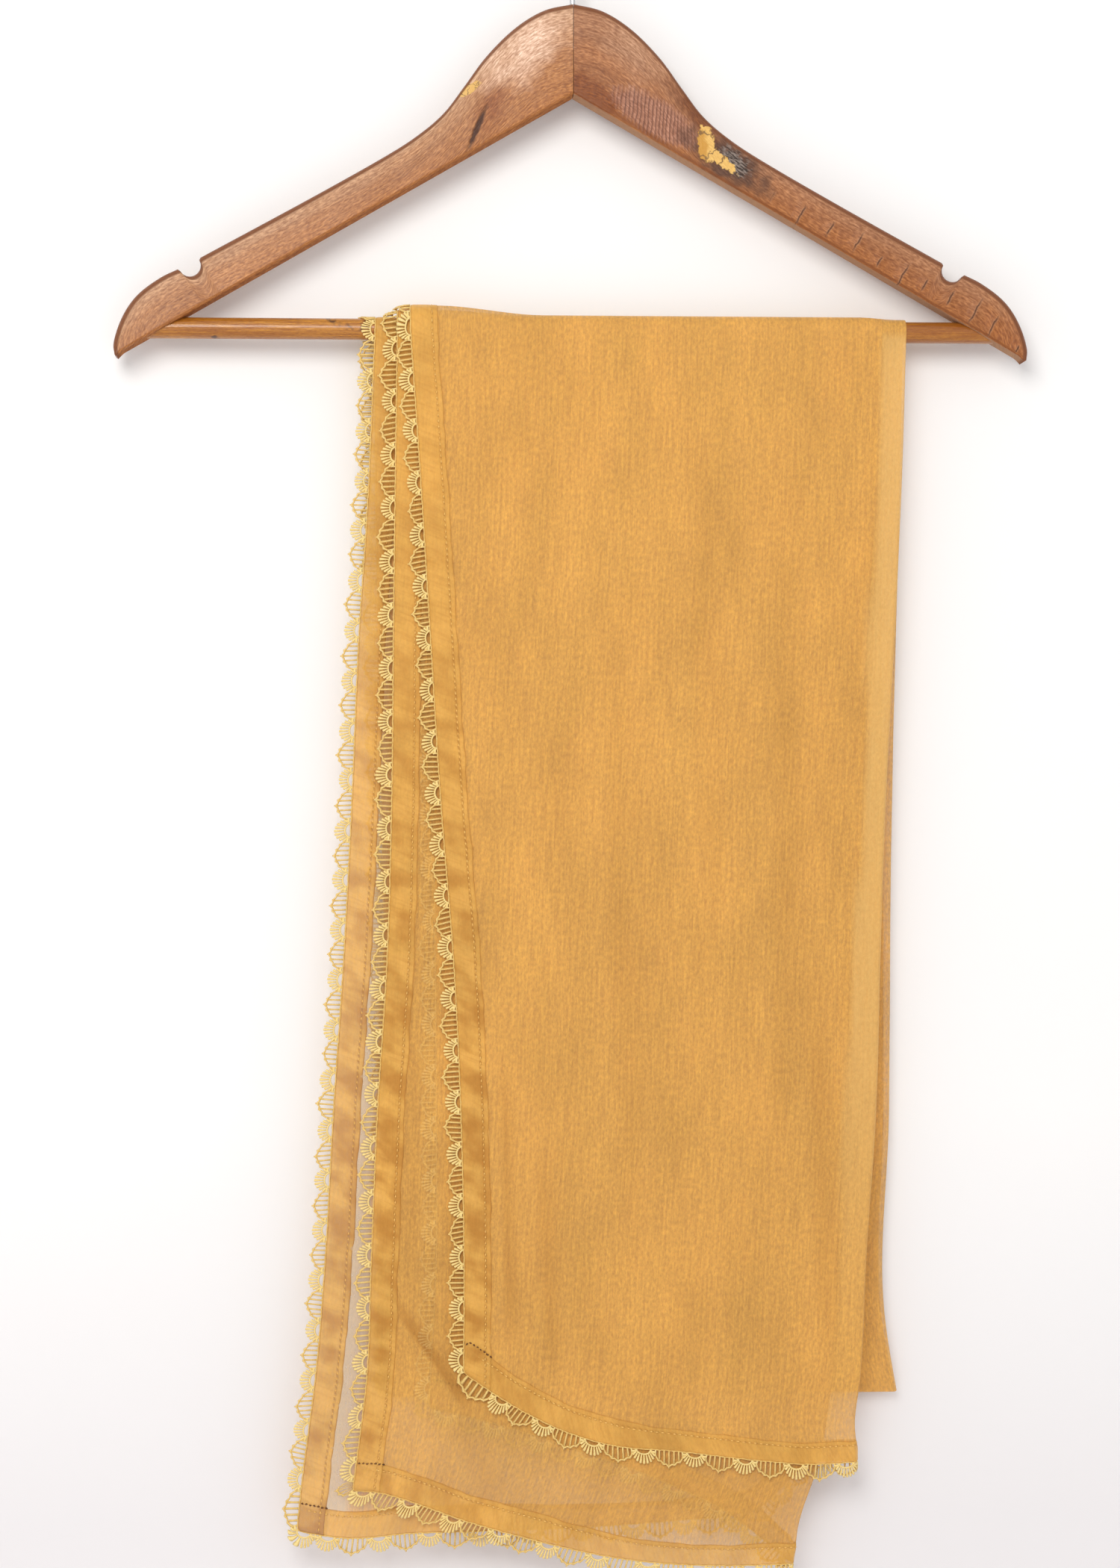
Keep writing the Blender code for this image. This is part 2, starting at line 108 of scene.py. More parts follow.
# Where the cloth's long edges and its folds lie in the front fall, a row for each height
COLUMNS = ("height", "a_outer", "b_outer", "b_inner", "a_inner", "a_fold", "b_fold")
FRONT_ROWS = (
    (-220.8, -78.6, -84.7, -76.0, -95.4, 162.1, 150.4),
    (-310.0, -72.6, -86.0, -72.0, -99.3, 158.7, 146.5),
    (-365.0, -69.2, -86.6, -70.0, -103.0, 156.2, 142.8),
    (-455.0, -63.5, -87.6, -67.5, -106.9, 151.5, 140.2),
    (-525.0, -57.8, -89.7, -66.5, -110.6, 149.2, 135.1),
    (-600.0, -54.2, -94.4, -66.0, -115.6, 147.0, 131.3),
    (-670.0, -52.7, -97.3, -66.0, -119.5, 142.4, 128.0),
    (-730.0, -53.0, -99.8, -69.0, -124.6, 139.2, 125.3),
    (-751.0, -53.2, -102.3, -70.3, -127.3, 136.6, 122.6),
    (-768.0, -53.4, -104.6, -71.5, -129.6, 137.9, 119.4),
    (-800.0, -54.0, -108.6, -73.0, -133.1, 136.6, 108.9),
    (-820.0, -54.0, -110.0, -74.0, -135.0, 136.0, 106.3),
)
BACK_ROWS = (
    (-220.8, -78.6, -84.7, -76.0, -95.4, 162.1, 150.4),
    (-310.0, -80.0, -85.0, -78.0, -95.0, 160.3, 151.4),
    (-377.0, -82.0, -85.5, -79.5, -93.5, 158.6, 152.0),
    (-460.0, -84.0, -86.0, -81.5, -92.0, 156.8, 152.4),
    (-600.0, -86.0, -87.0, -85.0, -90.0, 155.6, 152.8),
    (-706.0, -87.5, -87.5, -88.5, -89.0, 154.2, 152.4),
    (-738.1, -88.0, -88.0, -89.0, -89.0, 160.0, 158.2),
)

# The short edge at the bottom of each leaf: height by place across
SHORT_EDGE = {
    "a_outer": ((-53.1, -724.2), (-28.0, -740.8), (-2.0, -753.5), (18.6, -759.4), (47.5, -762.2),
                (94.2, -768.0), (112.7, -769.7), (137.0, -769.0)),
    "b_outer": ((-106.6, -780.7), (-95.8, -781.4), (-73.6, -787.9), (-59.2, -793.4), (-24.6, -803.9),
                (29.5, -815.3), (70.0, -818.2), (106.3, -818.0)),
    "b_inner": ((-70.0, -741.1), (-30.0, -751.5), (5.0, -763.0), (42.5, -777.0), (75.0, -793.0),
                (106.3, -818.0)),
    "a_inner": ((-133.1, -800.0), (-110.2, -803.9), (-77.5, -802.1), (-51.6, -801.6), (47.5, -796.7),
                (78.4, -793.8), (91.0, -790.5), (101.0, -781.5), (110.0, -772.0), (122.0, -769.0),
                (137.0, -769.0)),
}

# Where each end's short hem narrows towards its fold: the station where it ends, over how much, and by what
NARROWING = {"a": (1.70, 0.25, 2.8), "b": (1.62, 0.30, 3.0)}

# Soft creases of the front fall: the first leaf that they lift, both ends, half width and height
FRONT_CREASES = (
    ("b_outer", (-94.0, -684.0), (-50.0, -746.0), 3.2, 2.0),
    ("b_outer", (-80.0, -540.0), (-84.0, -690.0), 6.0, 0.7),
    ("b_outer", (-70.0, -740.0), (-40.0, -790.0), 9.0, 0.9),
    ("a_outer", (-38.0, -560.0), (-34.0, -722.0), 5.0, 1.0),
    ("a_outer", (-20.0, -610.0), (-14.0, -735.0), 5.5, 0.8),
    ("a_outer", (8.0, -330.0), (22.0, -700.0), 12.0, 0.8),
    ("a_outer", (52.0, -245.0), (60.0, -560.0), 15.0, 0.9),
    ("b_outer", (92.0, -300.0), (96.0, -700.0), 14.0, 1.0),
    ("a_outer", (112.0, -520.0), (118.0, -740.0), 8.0, 0.8),
    ("a_inner", (-118.0, -560.0), (-128.0, -770.0), 7.0, 0.9),
    ("b_outer", (20.0, -770.0), (70.0, -806.0), 8.0, 0.8),
)

# The same in the back fall, where they aren't seen
BACK_CREASES = (
    ("a_inner", (-40.0, -300.0), (-52.0, -700.0), 13.0, 1.0),
    ("b_outer", (10.0, -260.0), (0.0, -640.0), 10.0, 0.8),
    ("a_outer", (62.0, -340.0), (70.0, -720.0), 12.0, 1.1),
    ("a_outer", (118.0, -250.0), (108.0, -590.0), 9.0, 0.9),
    ("a_outer", (-58.0, -500.0), (-66.0, -725.0), 6.0, 0.9),
)


class StoleSettings(bpy.types.PropertyGroup):
    """Sizes and colours of the cloth, its hems and its lace."""
    first_depth: bpy.props.FloatProperty(
        name="First leaf", description="Distance of the innermost leaf from the bar's axis",
        default=(BAR_RADIUS + 0.35) * MM, min=0.005, max=0.02, unit="LENGTH", precision=5)
    tight_gap: bpy.props.FloatProperty(
        name="Gap on the bar", description="Distance from leaf to leaf where they lie on the bar",
        default=0.0006, min=0.0004, max=0.003, unit="LENGTH", precision=5)
    loose_gap: bpy.props.FloatProperty(
        name="Gap in the falls", description="Distance from leaf to leaf where they hang free",
        default=0.0014, min=0.0004, max=0.003, unit="LENGTH", precision=5)
    wave_depth: bpy.props.FloatProperty(
        name="Wave depth", description="Depth of the soft waves that all leaves share",
        default=0.0016, min=0.0, max=0.01, unit="LENGTH", precision=5)
    hem_thickness: bpy.props.FloatProperty(
        name="Hem thickness", description="Thickness of the turned hems between their puckers",
        default=0.0009, min=0.0004, max=0.002, unit="LENGTH", precision=5)
    lace_repeat: bpy.props.FloatProperty(
        name="Lace repeat", description="Length of one fan and one arch of the lace",
        default=0.0252, min=0.01, max=0.05, unit="LENGTH", precision=5)
    thread_radius: bpy.props.FloatProperty(
        name="Lace thread", description="Radius of the lace's threads",
        default=0.00048, min=0.0002, max=0.001, unit="LENGTH", precision=5)
    chiffon_colour: bpy.props.FloatVectorProperty(
        name="Chiffon", description="Colour of the chiffon", subtype="COLOR", size=3,
        default=(0.79, 0.435, 0.106), min=0.0, max=1.0)
    hem_colour: bpy.props.FloatVectorProperty(
        name="Hems", description="Colour of the turned hems", subtype="COLOR", size=3,
        default=(0.83, 0.465, 0.10), min=0.0, max=1.0)
    lace_colour: bpy.props.FloatVectorProperty(
        name="Lace", description="Colour of the lace thread", subtype="COLOR", size=3,
        default=(1.0, 0.76, 0.30), min=0.0, max=1.0)
    stitch_colour: bpy.props.FloatVectorProperty(
        name="Corner stitches", description="Colour of the thread at the corners", subtype="COLOR", size=3,
        default=(0.14, 0.052, 0.013), min=0.0, max=1.0)


class HangerSettings(bpy.types.PropertyGroup):
    """Sizes and colours of the hanger."""
    top_rounding: bpy.props.FloatProperty(
        name="Upper edge", description="Rounding of the arms' upper edges",
        default=0.0028, min=0.0005, max=0.005, unit="LENGTH", precision=5)
    lower_rounding: bpy.props.FloatProperty(
        name="Lower edge", description="Rounding of the arms' lower edges",
        default=0.0012, min=0.0005, max=0.005, unit="LENGTH", precision=5)
    wood_colour: bpy.props.FloatVectorProperty(
        name="Wood", description="Colour of the bare wood under the worn varnish", subtype="COLOR", size=3,
        default=(0.48, 0.21, 0.075), min=0.0, max=1.0)
    varnish_colour: bpy.props.FloatVectorProperty(
        name="Varnish", description="Colour where the varnish is whole", subtype="COLOR", size=3,
        default=(0.36, 0.12, 0.028), min=0.0, max=1.0)
    bar_colour: bpy.props.FloatVectorProperty(
        name="Bar", description="Colour of the dowel", subtype="COLOR", size=3,
        default=(0.64, 0.225, 0.03), min=0.0, max=1.0)
    filler_colour: bpy.props.FloatVectorProperty(
        name="Filler", description="Colour of the filled patch", subtype="COLOR", size=3,
        default=(0.74, 0.43, 0.11), min=0.0, max=1.0)


class StageSettings(bpy.types.PropertyGroup):
    """Backdrop and light."""
    wall_distance: bpy.props.FloatProperty(
        name="Wall", description="Distance of the wall behind the bar's axis",
        default=0.0175, min=0.014, max=2.0, unit="LENGTH")
    floor_height: bpy.props.FloatProperty(
        name="Floor", description="Height of the floor under the stole",
        default=-1.05, min=-3.0, max=-0.85, unit="LENGTH")
    key_power: bpy.props.FloatProperty(
        name="Key light", description="Power of the large soft light at the upper left",
        default=21.8, min=0.0, max=1000.0, unit="POWER")
    fill_strength: bpy.props.FloatProperty(
        name="Fill", description="Strength of the even white light from all round",
        default=0.72, min=0.0, max=5.0)


def stole_sizes():
    """The cloth's settings."""
    return bpy.context.scene.stole_sizes


def hanger_sizes():
    """The hanger's settings."""
    return bpy.context.scene.hanger_sizes


def smoothstep(at):
    """Rises smoothly from 0 to 1 as at goes from 0 to 1: three squares less two cubes."""
    at = np.clip(at, 0, 1)
    return at * at * (3 - 2 * at)


def wander(at, seed):
    """Gentle uneven wave between about -1 and 1: three sines whose lengths share no measure."""
    first = np.sin(at + seed)
    second = np.sin(1.713 * at + 2.3 * seed)
    third = np.sin(2.937 * at + 4.1 * seed)
    return (first + 0.6 * second + 0.4 * third) / 1.6


def smooth_curve(knots, values, at):
    """Cubic Hermite curve through the knots, level beyond both ends, with slopes from the neighbours."""
    knots = np.asarray(knots, float)
    values = np.asarray(values, float)
    slopes = np.gradient(values, knots)
    at = np.clip(at, knots[0], knots[-1])
    index = np.clip(np.searchsorted(knots, at) - 1, 0, len(knots) - 2)
    span = knots[index + 1] - knots[index]
    t = (at - knots[index]) / span
    blend = smoothstep(t)
    rise = values[index] * (1 - blend) + values[index + 1] * blend
    return rise + t * (1 - t) * ((1 - t) * slopes[index] - t * slopes[index + 1]) * span


def grid_faces(rows, columns, closed=False):
    """Quads of a grid of points in row order; closed joins the last column to the first."""
    starts = np.arange(columns if closed else columns - 1)
    row, column = np.meshgrid(np.arange(rows - 1), starts, indexing="ij")
    beside = (column + 1) % columns
    corners = (row * columns + column, row * columns + beside, (row + 1) * columns + beside,
               (row + 1) * columns + column)
    return np.stack([corner.ravel() for corner in corners], axis=1)


def end_caps(rows, columns):
    """Faces that close the first and the last row of a closed grid."""
    first = np.arange(columns)
    return np.array([first[::-1], (rows - 1) * columns + first])


def make_piece(name, points, faces, material, flat=None, values=None):
    """A mesh object from points in millimetres that rides on the root body.

    Faces is a list of arrays, one for each number of corners. Flat holds a flat place in millimetres
    for each point and goes to the UV map; values holds further numbers by name, one for each point.
    """
    mesh = bpy.data.meshes.new(name)
    faces = [np.asarray(part, int) for part in faces if len(part)]
    corners = np.concatenate([part.ravel() for part in faces])
    counts = np.concatenate([np.full(len(part), part.shape[1]) for part in faces])
    mesh.vertices.add(len(points))
    mesh.vertices.foreach_set("co", (np.asarray(points, float) * MM).ravel())
    mesh.loops.add(len(corners))
    mesh.loops.foreach_set("vertex_index", corners)
    mesh.polygons.add(len(counts))
    mesh.polygons.foreach_set("loop_start", np.concatenate([[0], np.cumsum(counts)[:-1]]))
    mesh.polygons.foreach_set("loop_total", counts)
    mesh.update(calc_edges=True)
    mesh.validate()
    if flat is not None:
        layer = mesh.uv_layers.new(name="flat")
        layer.data.foreach_set("uv", (np.asarray(flat, float)[corners] * MM).ravel())
    for key, numbers in (values or {}).items():
        made = mesh.attributes.new(key, "FLOAT", "POINT")
        made.data.foreach_set("value", np.asarray(numbers, float))
    mesh.shade_smooth()
    mesh.materials.append(material)
    piece = bpy.data.objects.new(name, mesh)
    bpy.context.collection.objects.link(piece)
    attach(piece, "root")
    return piece


def tube(path, across, up, radius, sides, flatness=1.0):
    """Closed tube along a path: rings of radius times (cosine across + flatness sine up), with caps.

    Path, across and up are rows of three numbers, and radius is one number or one for each row.
    Returns its points and its faces as quads and caps.
    """
    angle = np.linspace(0, TAU, sides, endpoint=False)
    radius = np.broadcast_to(np.asarray(radius, float), (len(path),))[:, None, None]
    ring = np.cos(angle)[None, :, None] * across[:, None, :]
    ring = ring + flatness * np.sin(angle)[None, :, None] * up[:, None, :]
    points = (path[:, None, :] + radius * ring).reshape(-1, 3)
    return points, grid_faces(len(path), sides, closed=True), end_caps(len(path), sides)


def join(parts):
    """Joins (points, quads, caps) parts into one, with the faces counted on."""
    points = np.concatenate([part[0] for part in parts])
    starts = np.cumsum([0] + [len(part[0]) for part in parts[:-1]])
    quads = np.concatenate([part[1] + start for part, start in zip(parts, starts)])
    caps = np.concatenate([part[2] + start for part, start in zip(parts, starts)])
    return points, quads, caps


def drop_of(along):
    """Distance below the bar on either side, for a flat distance along the cloth."""
    return np.maximum(-along, 0) + np.clip(along - OVER_BAR, 0, FLOOR_ALONG - OVER_BAR)


def column(name, along):
    """Place across of an edge or a fold, from the front table or the back one."""
    height = BAR_HEIGHT - drop_of(along)
    front, back = (np.array(rows)[::-1] for rows in (FRONT_ROWS, BACK_ROWS))
    index = COLUMNS.index(name)
    seen = smooth_curve(front[:, 0], front[:, index], height)
    hidden = smooth_curve(back[:, 0], back[:, index], height)
    return np.where(along < OVER_BAR / 2, seen, hidden)


def fold_start(end, along):
    """Place across where an end's fold starts to turn; both ends share it at the mid-length fold."""
    starts = {side: column(side + "_fold", along) - FOLD_ROUND[side] for side in FOLD_ROUND}
    shared = (starts["a"] + starts["b"]) / 2
    return starts[end] + (shared - starts[end]) * smoothstep((along - FLOOR_ALONG + 40) / 40)


def edge_across(end, part, along):
    """Flat place across of a leaf's sewn edge: less than nothing on the outer leaf, more on the inner."""
    reach = fold_start(end, along) - column(end + "_" + part, along) + FOLD_FLAT / 2
    return -reach if part == "outer" else reach


def across_at(end, station, along, inset=0.0):
    """Flat place across of a station: -2 outer edge, -1 to 1 round the fold, 2 inner edge.

    Between these the leaf is divided evenly, counted from inset inside each edge.
    """
    half = FOLD_FLAT / 2
    outer = edge_across(end, "outer", along) + inset
    inner = edge_across(end, "inner", along) - inset
    place = half * np.clip(station, -1, 1)
    place = place + (outer + half) * np.clip(-station - 1, 0, None)
    return place + (inner - half) * np.clip(station - 1, 0, None)


def place_across(end, across, along):
    """Place across in space of a flat place on either leaf: the fold's start less the way from the fold."""
    return fold_start(end, along) - np.maximum(np.abs(across) - FOLD_FLAT / 2, 0)


def short_edge(end, across, along):
    """Flat distance along of the short edge at a flat place across, and its slope there."""
    place = place_across(end, across, along)
    found = []
    for step in (-1.0, 0.0, 1.0):
        heights = []
        for part in ("outer", "inner"):
            table = np.array(SHORT_EDGE[end + "_" + part])
            heights.append(smooth_curve(table[:, 0], table[:, 1], place + step))
        found.append(np.where(across < 0, heights[0], heights[1]))
    return found[1] - BAR_HEIGHT, (found[2] - found[0]) / 2


def inside_short(end, across, along):
    """Distance of a flat place inside the short edge, measured square to it."""
    edge, slope = short_edge(end, across, along)
    return (along - edge) / np.sqrt(1 + slope * slope)


def short_width(end, station):
    """Width of the short hem at a station; it narrows towards the fold."""
    reach, over, amount = NARROWING[end]
    return HEM_WIDTH - amount * smoothstep((reach - np.abs(station)) / over)


def floor_along(end, place_of, rise, steps=14):
    """Flat distance along where a column meets the line at rise inside the short edge.

    Place_of gives the column's flat place across at a distance along. Found by repeated substitution.
    """
    along = -500.0 + 0 * place_of(np.array(-500.0))
    for step in range(steps):
        edge, slope = short_edge(end, place_of(along), along)
        along = edge + rise * np.sqrt(1 + slope * slope)
    return along


def rows_from(floor, spacing):
    """Rows of flat distances: up the front fall, over the bar, down the back and into the half-turn.

    Floor has one value for each column. Spacing holds the distance between rows in the front, the number
    of rows over the bar, and the distance in the back.
    """
    front = np.linspace(0, 1, int(np.max(-floor) / spacing[0]) + 1, endpoint=False)[:, None]
    over = np.linspace(0, OVER_BAR, spacing[1], endpoint=False)[:, None]
    back = np.linspace(OVER_BAR, FLOOR_ALONG, int((FLOOR_ALONG - OVER_BAR) / spacing[2]), endpoint=False)
    turn = FLOOR_ALONG + TURN_FLAT * np.linspace(0, 1, 4)
    level = 0 * floor[None, :]
    parts = [floor[None, :] * (1 - front), over + level, back[:, None] + level, turn[:, None] + level]
    return np.concatenate(parts)


def crease_lift(leaf, place, height, creases):
    """How far creases lift a leaf: each a bell across its line, fading in and out along it."""
    lift = 0.0
    for first, start, stop, half_width, tall in creases:
        if LAYER[leaf] < LAYER[first]:
            continue
        run = np.subtract(stop, start)
        length = np.hypot(*run)
        t = ((place - start[0]) * run[0] + (height - start[1]) * run[1]) / length**2
        away = ((place - start[0]) * run[1] - (height - start[1]) * run[0]) / length
        fade = smoothstep(t / 0.3) * smoothstep((1 - t) / 0.25)
        lift = lift + tall * fade * np.exp(-(away / half_width) ** 2)
    return lift


# How far the hems that lie on each other at the left lift each leaf, the share that is left far down, and
# where the lift ends at the right
HEM_PILE = {"a_inner": 0.0, "b_inner": 1.3, "b_outer": 2.8, "a_outer": 4.4}
PILE_LEAST = 0.22
PILE_RIGHT = -14.0

# How far down the leaves come loose, the hems' pile and the outer leaf's sinking fade, and how far it sinks
LOOSE_DROP = 60.0
PILE_DROP = 130.0
SINK_DROP = 90.0
SINK = 1.1


def depth_of(leaf, place, along):
    """Distance of a leaf's middle from the bar's axis.

    The leaves lie close on the bar and looser below it. The hems at the left pile up under them, the
    outer leaf sinks where end B has stopped, and creases stand out.
    """
    sizes = stole_sizes()
    drop = drop_of(along)
    loose = smoothstep(drop / LOOSE_DROP)
    gap = (sizes.tight_gap * (1 - loose) + sizes.loose_gap * loose) / MM
    depth = sizes.first_depth / MM + LAYER[leaf] * gap
    left = -80.0 - 8.0 * smoothstep((along - OVER_BAR) / 200)
    heap = smoothstep((place - left + 16) / 16) * smoothstep((PILE_RIGHT - place) / 52)
    stays = PILE_LEAST + (1 - PILE_LEAST) * (1 - smoothstep(drop / PILE_DROP))
    depth = depth + HEM_PILE[leaf] * heap * stays
    if leaf == "a_outer":
        past = place - column("b_fold", along) + 10
        depth = depth - SINK * smoothstep(past / 16) * (1 - smoothstep(drop / SINK_DROP))
    height = BAR_HEIGHT - drop
    seen = crease_lift(leaf, place, height, FRONT_CREASES) * (along < 0)
    hidden = crease_lift(leaf, place, height, BACK_CREASES) * (along > OVER_BAR)
    return depth + seen + hidden


def waves(place, height):
    """The soft waves that all leaves share: a sine across that drifts with height, growing below the bar."""
    growth = smoothstep((BAR_HEIGHT - height) / WAVE_RISE)
    turn = TAU * (place / WAVE_WIDTH + height / WAVE_DRIFT)
    return stole_sizes().wave_depth / MM * growth * np.sin(turn)


LEAF_SEED = {"a_outer": 0.4, "a_inner": 1.9, "b_outer": 3.1, "b_inner": 4.6}
SHORT_SEED = 5.5

# Puckers of the sewn edges: height and length of the long and the short ones, how much they lean, and how
# strong they are at places inward from the edge
LONG_PUCKER = (0.42, 19.0)
SHORT_PUCKER = (0.22, 7.5)
PUCKER_LEAN = 0.35
PUCKER_PLACES = (0.0, 3.0, 8.0, STITCH_PLACE, 12.0, 16.0, 28.0)
PUCKER_STRENGTHS = (0.4, 0.9, 0.8, 0.3, 1.0, 0.7, 0.0)


def ruffle(end, across, along):
    """Puckers of the sewn edges at a flat place: uneven waves along each edge, leaning a little.

    They are strong in the band, held flat at the stitch line, strong again beside it, and fade away in
    the panel. They are calm where the cloth lies on the bar.
    """
    across, along = np.broadcast_arrays(np.asarray(across, float), along)
    runs = ((across - edge_across(end, "outer", along), along, LEAF_SEED[end + "_outer"]),
            (edge_across(end, "inner", along) - across, along, LEAF_SEED[end + "_inner"]),
            (inside_short(end, across, along), across, SHORT_SEED))
    total = 0.0
    for inward, beside, seed in runs:
        turn = TAU * (beside + PUCKER_LEAN * inward)
        wave = LONG_PUCKER[0] * wander(turn / LONG_PUCKER[1], seed)
        wave = wave + SHORT_PUCKER[0] * wander(turn / SHORT_PUCKER[1], 2.3 * seed)
        total = total + wave * np.interp(inward, PUCKER_PLACES, PUCKER_STRENGTHS)
    calm = smoothstep((drop_of(along) + 8) / 40) * (1 - smoothstep((along - FLOOR_ALONG + 12) / 12))
    return total * calm


def on_cloth(end, across, along, lift=0.0):
    """Point of an end's cloth from its flat place, lifted outwards from the leaf's middle.

    Across, the cloth runs from the outer leaf round the fold, half an ellipse, to the inner leaf. Along,
    it runs up the front, in half a circle over the bar, down the back and into a quarter of the turn
    that joins it to the other end.
    """
    across, along, lift = np.broadcast_arrays(np.asarray(across, float), along, lift)
    angle = math.pi * np.clip(across / FOLD_FLAT + 0.5, 0, 1)
    place = place_across(end, across, along)
    share = (1 + np.cos(angle)) / 2
    other = "b" if end == "a" else "a"
    depths = []
    for side in (end, other):
        outer, inner = (depth_of(side + part, place, along) for part in ("_outer", "_inner"))
        depths.append(inner + (outer - inner) * share)
    middle = (depths[0] + depths[1]) / 2
    half_depth = depths[0] - middle
    round_off = (FOLD_ROUND[end] + FOLD_ROUND[other]) / 2 * np.sin(angle)
    half_round = (FOLD_ROUND[end] - FOLD_ROUND[other]) / 2 * np.sin(angle)
    turn = math.pi / 2 * np.clip((along - FLOOR_ALONG) / TURN_FLAT, 0, 1)
    outside = 1 if end == "a" else -1
    x = place + round_off + (half_round + lift * np.sin(angle)) * np.cos(turn)
    depth = middle + (half_depth + lift * np.cos(angle)) * np.cos(turn)
    below = (np.hypot(half_round, half_depth) + outside * lift) * np.sin(turn)
    over = math.pi * np.clip(along / OVER_BAR, 0, 1)
    height = BAR_HEIGHT - drop_of(along)
    y = -depth * np.cos(over) + waves(x, height)
    return np.stack([x, y, height + depth * np.sin(over) - below], axis=-1)


def new_group(name, inputs, outputs):
    """An empty shader node group with named sockets, each (name, kind) or (name, kind, default)."""
    tree = bpy.data.node_groups.new(name, "ShaderNodeTree")
    for in_out, sockets in (("INPUT", inputs), ("OUTPUT", outputs)):
        for socket in sockets:
            made = tree.interface.new_socket(socket[0], in_out=in_out, socket_type="NodeSocket" + socket[1])
            if len(socket) > 2:
                made.default_value = socket[2]
    return tree, tree.nodes.new("NodeGroupInput"), tree.nodes.new("NodeGroupOutput")


def add_node(tree, kind, settings=None, **links):
    """A shader node: settings are its own properties, and links are its inputs by name.

    An input given as a socket is linked and any other value is set. Underscores stand for spaces, and
    a name like in_1 is the input of that number.
    """
    made = tree.nodes.new("ShaderNode" + kind)
    for key, value in (settings or {}).items():
        setattr(made, key, value)
    for key, value in links.items():
        socket = made.inputs[int(key[3:])] if key.startswith("in_") else made.inputs[key.replace("_", " ")]
        if isinstance(value, bpy.types.NodeSocket):
            tree.links.new(value, socket)
        else:
            socket.default_value = value
    return made


def maths(tree, operation, first, second=0.0, clamp=False):
    """Output of one Math node."""
    settings = {"operation": operation, "use_clamp": clamp}
    return add_node(tree, "Math", settings, in_0=first, in_1=second).outputs[0]


def blend_colours(tree, factor, first, second, mode="MIX"):
    """Output of one colour Mix node; a colour of three numbers gets a full alpha."""
    mix = add_node(tree, "Mix", {"data_type": "RGBA", "blend_type": mode})
    for number, value in ((0, factor), (6, first), (7, second)):
        if isinstance(value, bpy.types.NodeSocket):
            tree.links.new(value, mix.inputs[number])
        else:
            mix.inputs[number].default_value = value if number == 0 or len(value) == 4 else (*value, 1.0)
    return mix.outputs[2]


def remap(tree, value, low, high, to_low=0.0, to_high=1.0):
    """Output of one Map Range node, clamped."""
    return add_node(tree, "MapRange", None, Value=value, From_Min=low, From_Max=high, To_Min=to_low,
                    To_Max=to_high).outputs[0]


def noise(tree, place, scale, detail=2.0, roughness=0.5):
    """Output of one Noise node."""
    return add_node(tree, "TexNoise", None, Vector=place, Scale=scale, Detail=detail,
                    Roughness=roughness).outputs[0]


def attribute(tree, name):
    """A piece's own number by name."""
    return add_node(tree, "Attribute", {"attribute_name": name}).outputs["Fac"]


def object_place(tree):
    """Place in the object's own coordinates, in metres."""
    return add_node(tree, "TexCoord").outputs["Object"]


def flat_place(tree):
    """Place on the piece's flat pattern, in metres."""
    return add_node(tree, "UVMap", {"uv_map": "flat"}).outputs[0]


def tint(colour, share):
    """A colour times a share for each of its channels, no brighter than 1."""
    return tuple(np.clip(np.array(colour) * share, 0, 1))


def blend_tint(tree, mask, share, toned, colour):
    """Blends a colour over another by a mask times a share."""
    return blend_colours(tree, maths(tree, "MULTIPLY", mask, share), toned, tuple(colour))


# Noises of the crepe chiffon, crinkle lines down it, speckle and broad clouds, and of wood whose grain runs
# along X: stretch, scale, detail, and the range that is kept
CREPE_NOISES = {"Streak": ((1.0, 0.05, 1.0), 820.0, 2.0, 0.34, 0.66),
                "Grain": ((1.0, 0.5, 1.0), 800.0, 3.0, 0.34, 0.66),
                "Cloud": ((1.0, 0.4, 1.0), 30.0, 2.0, 0.32, 0.68)}
WOOD_NOISES = {"Band": ((0.10, 1.0, 1.0), 110.0, 4.0, 0.32, 0.68),
               "Fibre": ((0.045, 1.0, 1.0), 900.0, 3.0, 0.32, 0.68),
               "Pore": ((0.3, 1.0, 1.0), 1100.0, 2.0, 0.34, 0.66)}


def noise_group(name, rows):
    """Shader group of stretched noises on flat coordinates in metres, with one mask for each row."""
    if name in bpy.data.node_groups:
        return bpy.data.node_groups[name]
    tree, given, out = new_group(name, [("Place", "Vector"), ("Scale", "Float", 1.0)],
                                 [(key, "Float") for key in rows])
    sized = add_node(tree, "VectorMath", {"operation": "SCALE"}, in_0=given.outputs["Place"],
                     Scale=given.outputs["Scale"]).outputs[0]
    for key, (stretch, scale, detail, low, high) in rows.items():
        mapped = add_node(tree, "Mapping", None, Vector=sized, Scale=stretch).outputs[0]
        tree.links.new(remap(tree, noise(tree, mapped, scale, detail, 0.6), low, high), out.inputs[key])
    return tree


def noises(tree, name, rows, scale):
    """The masks of one placed group of noises, in the order of its table."""
    made = add_node(tree, "Group", {"node_tree": noise_group(name, rows)}, Scale=scale,
                    Place=flat_place(tree))
    return [made.outputs[key] for key in rows]


def new_material(name):
    """A material with an empty Principled shader, its tree, and the shader.

    The frame's own materials keep the plain names, so these are called look_ and the name.
    """
    name = "look_" + name
    material = bpy.data.materials.get(name)
    if material is not None:
        return material, None, None
    material = bpy.data.materials.new(name)
    material.use_nodes = True
    tree = material.node_tree
    return material, tree, tree.nodes["Principled BSDF"]


def set_shader(tree, shader, **values):
    """Sets or links the Principled shader's inputs; underscores stand for spaces."""
    for key, value in values.items():
        socket = shader.inputs[key.replace("_", " ")]
        if isinstance(value, bpy.types.NodeSocket):
            tree.links.new(value, socket)
        else:
            socket.default_value = value
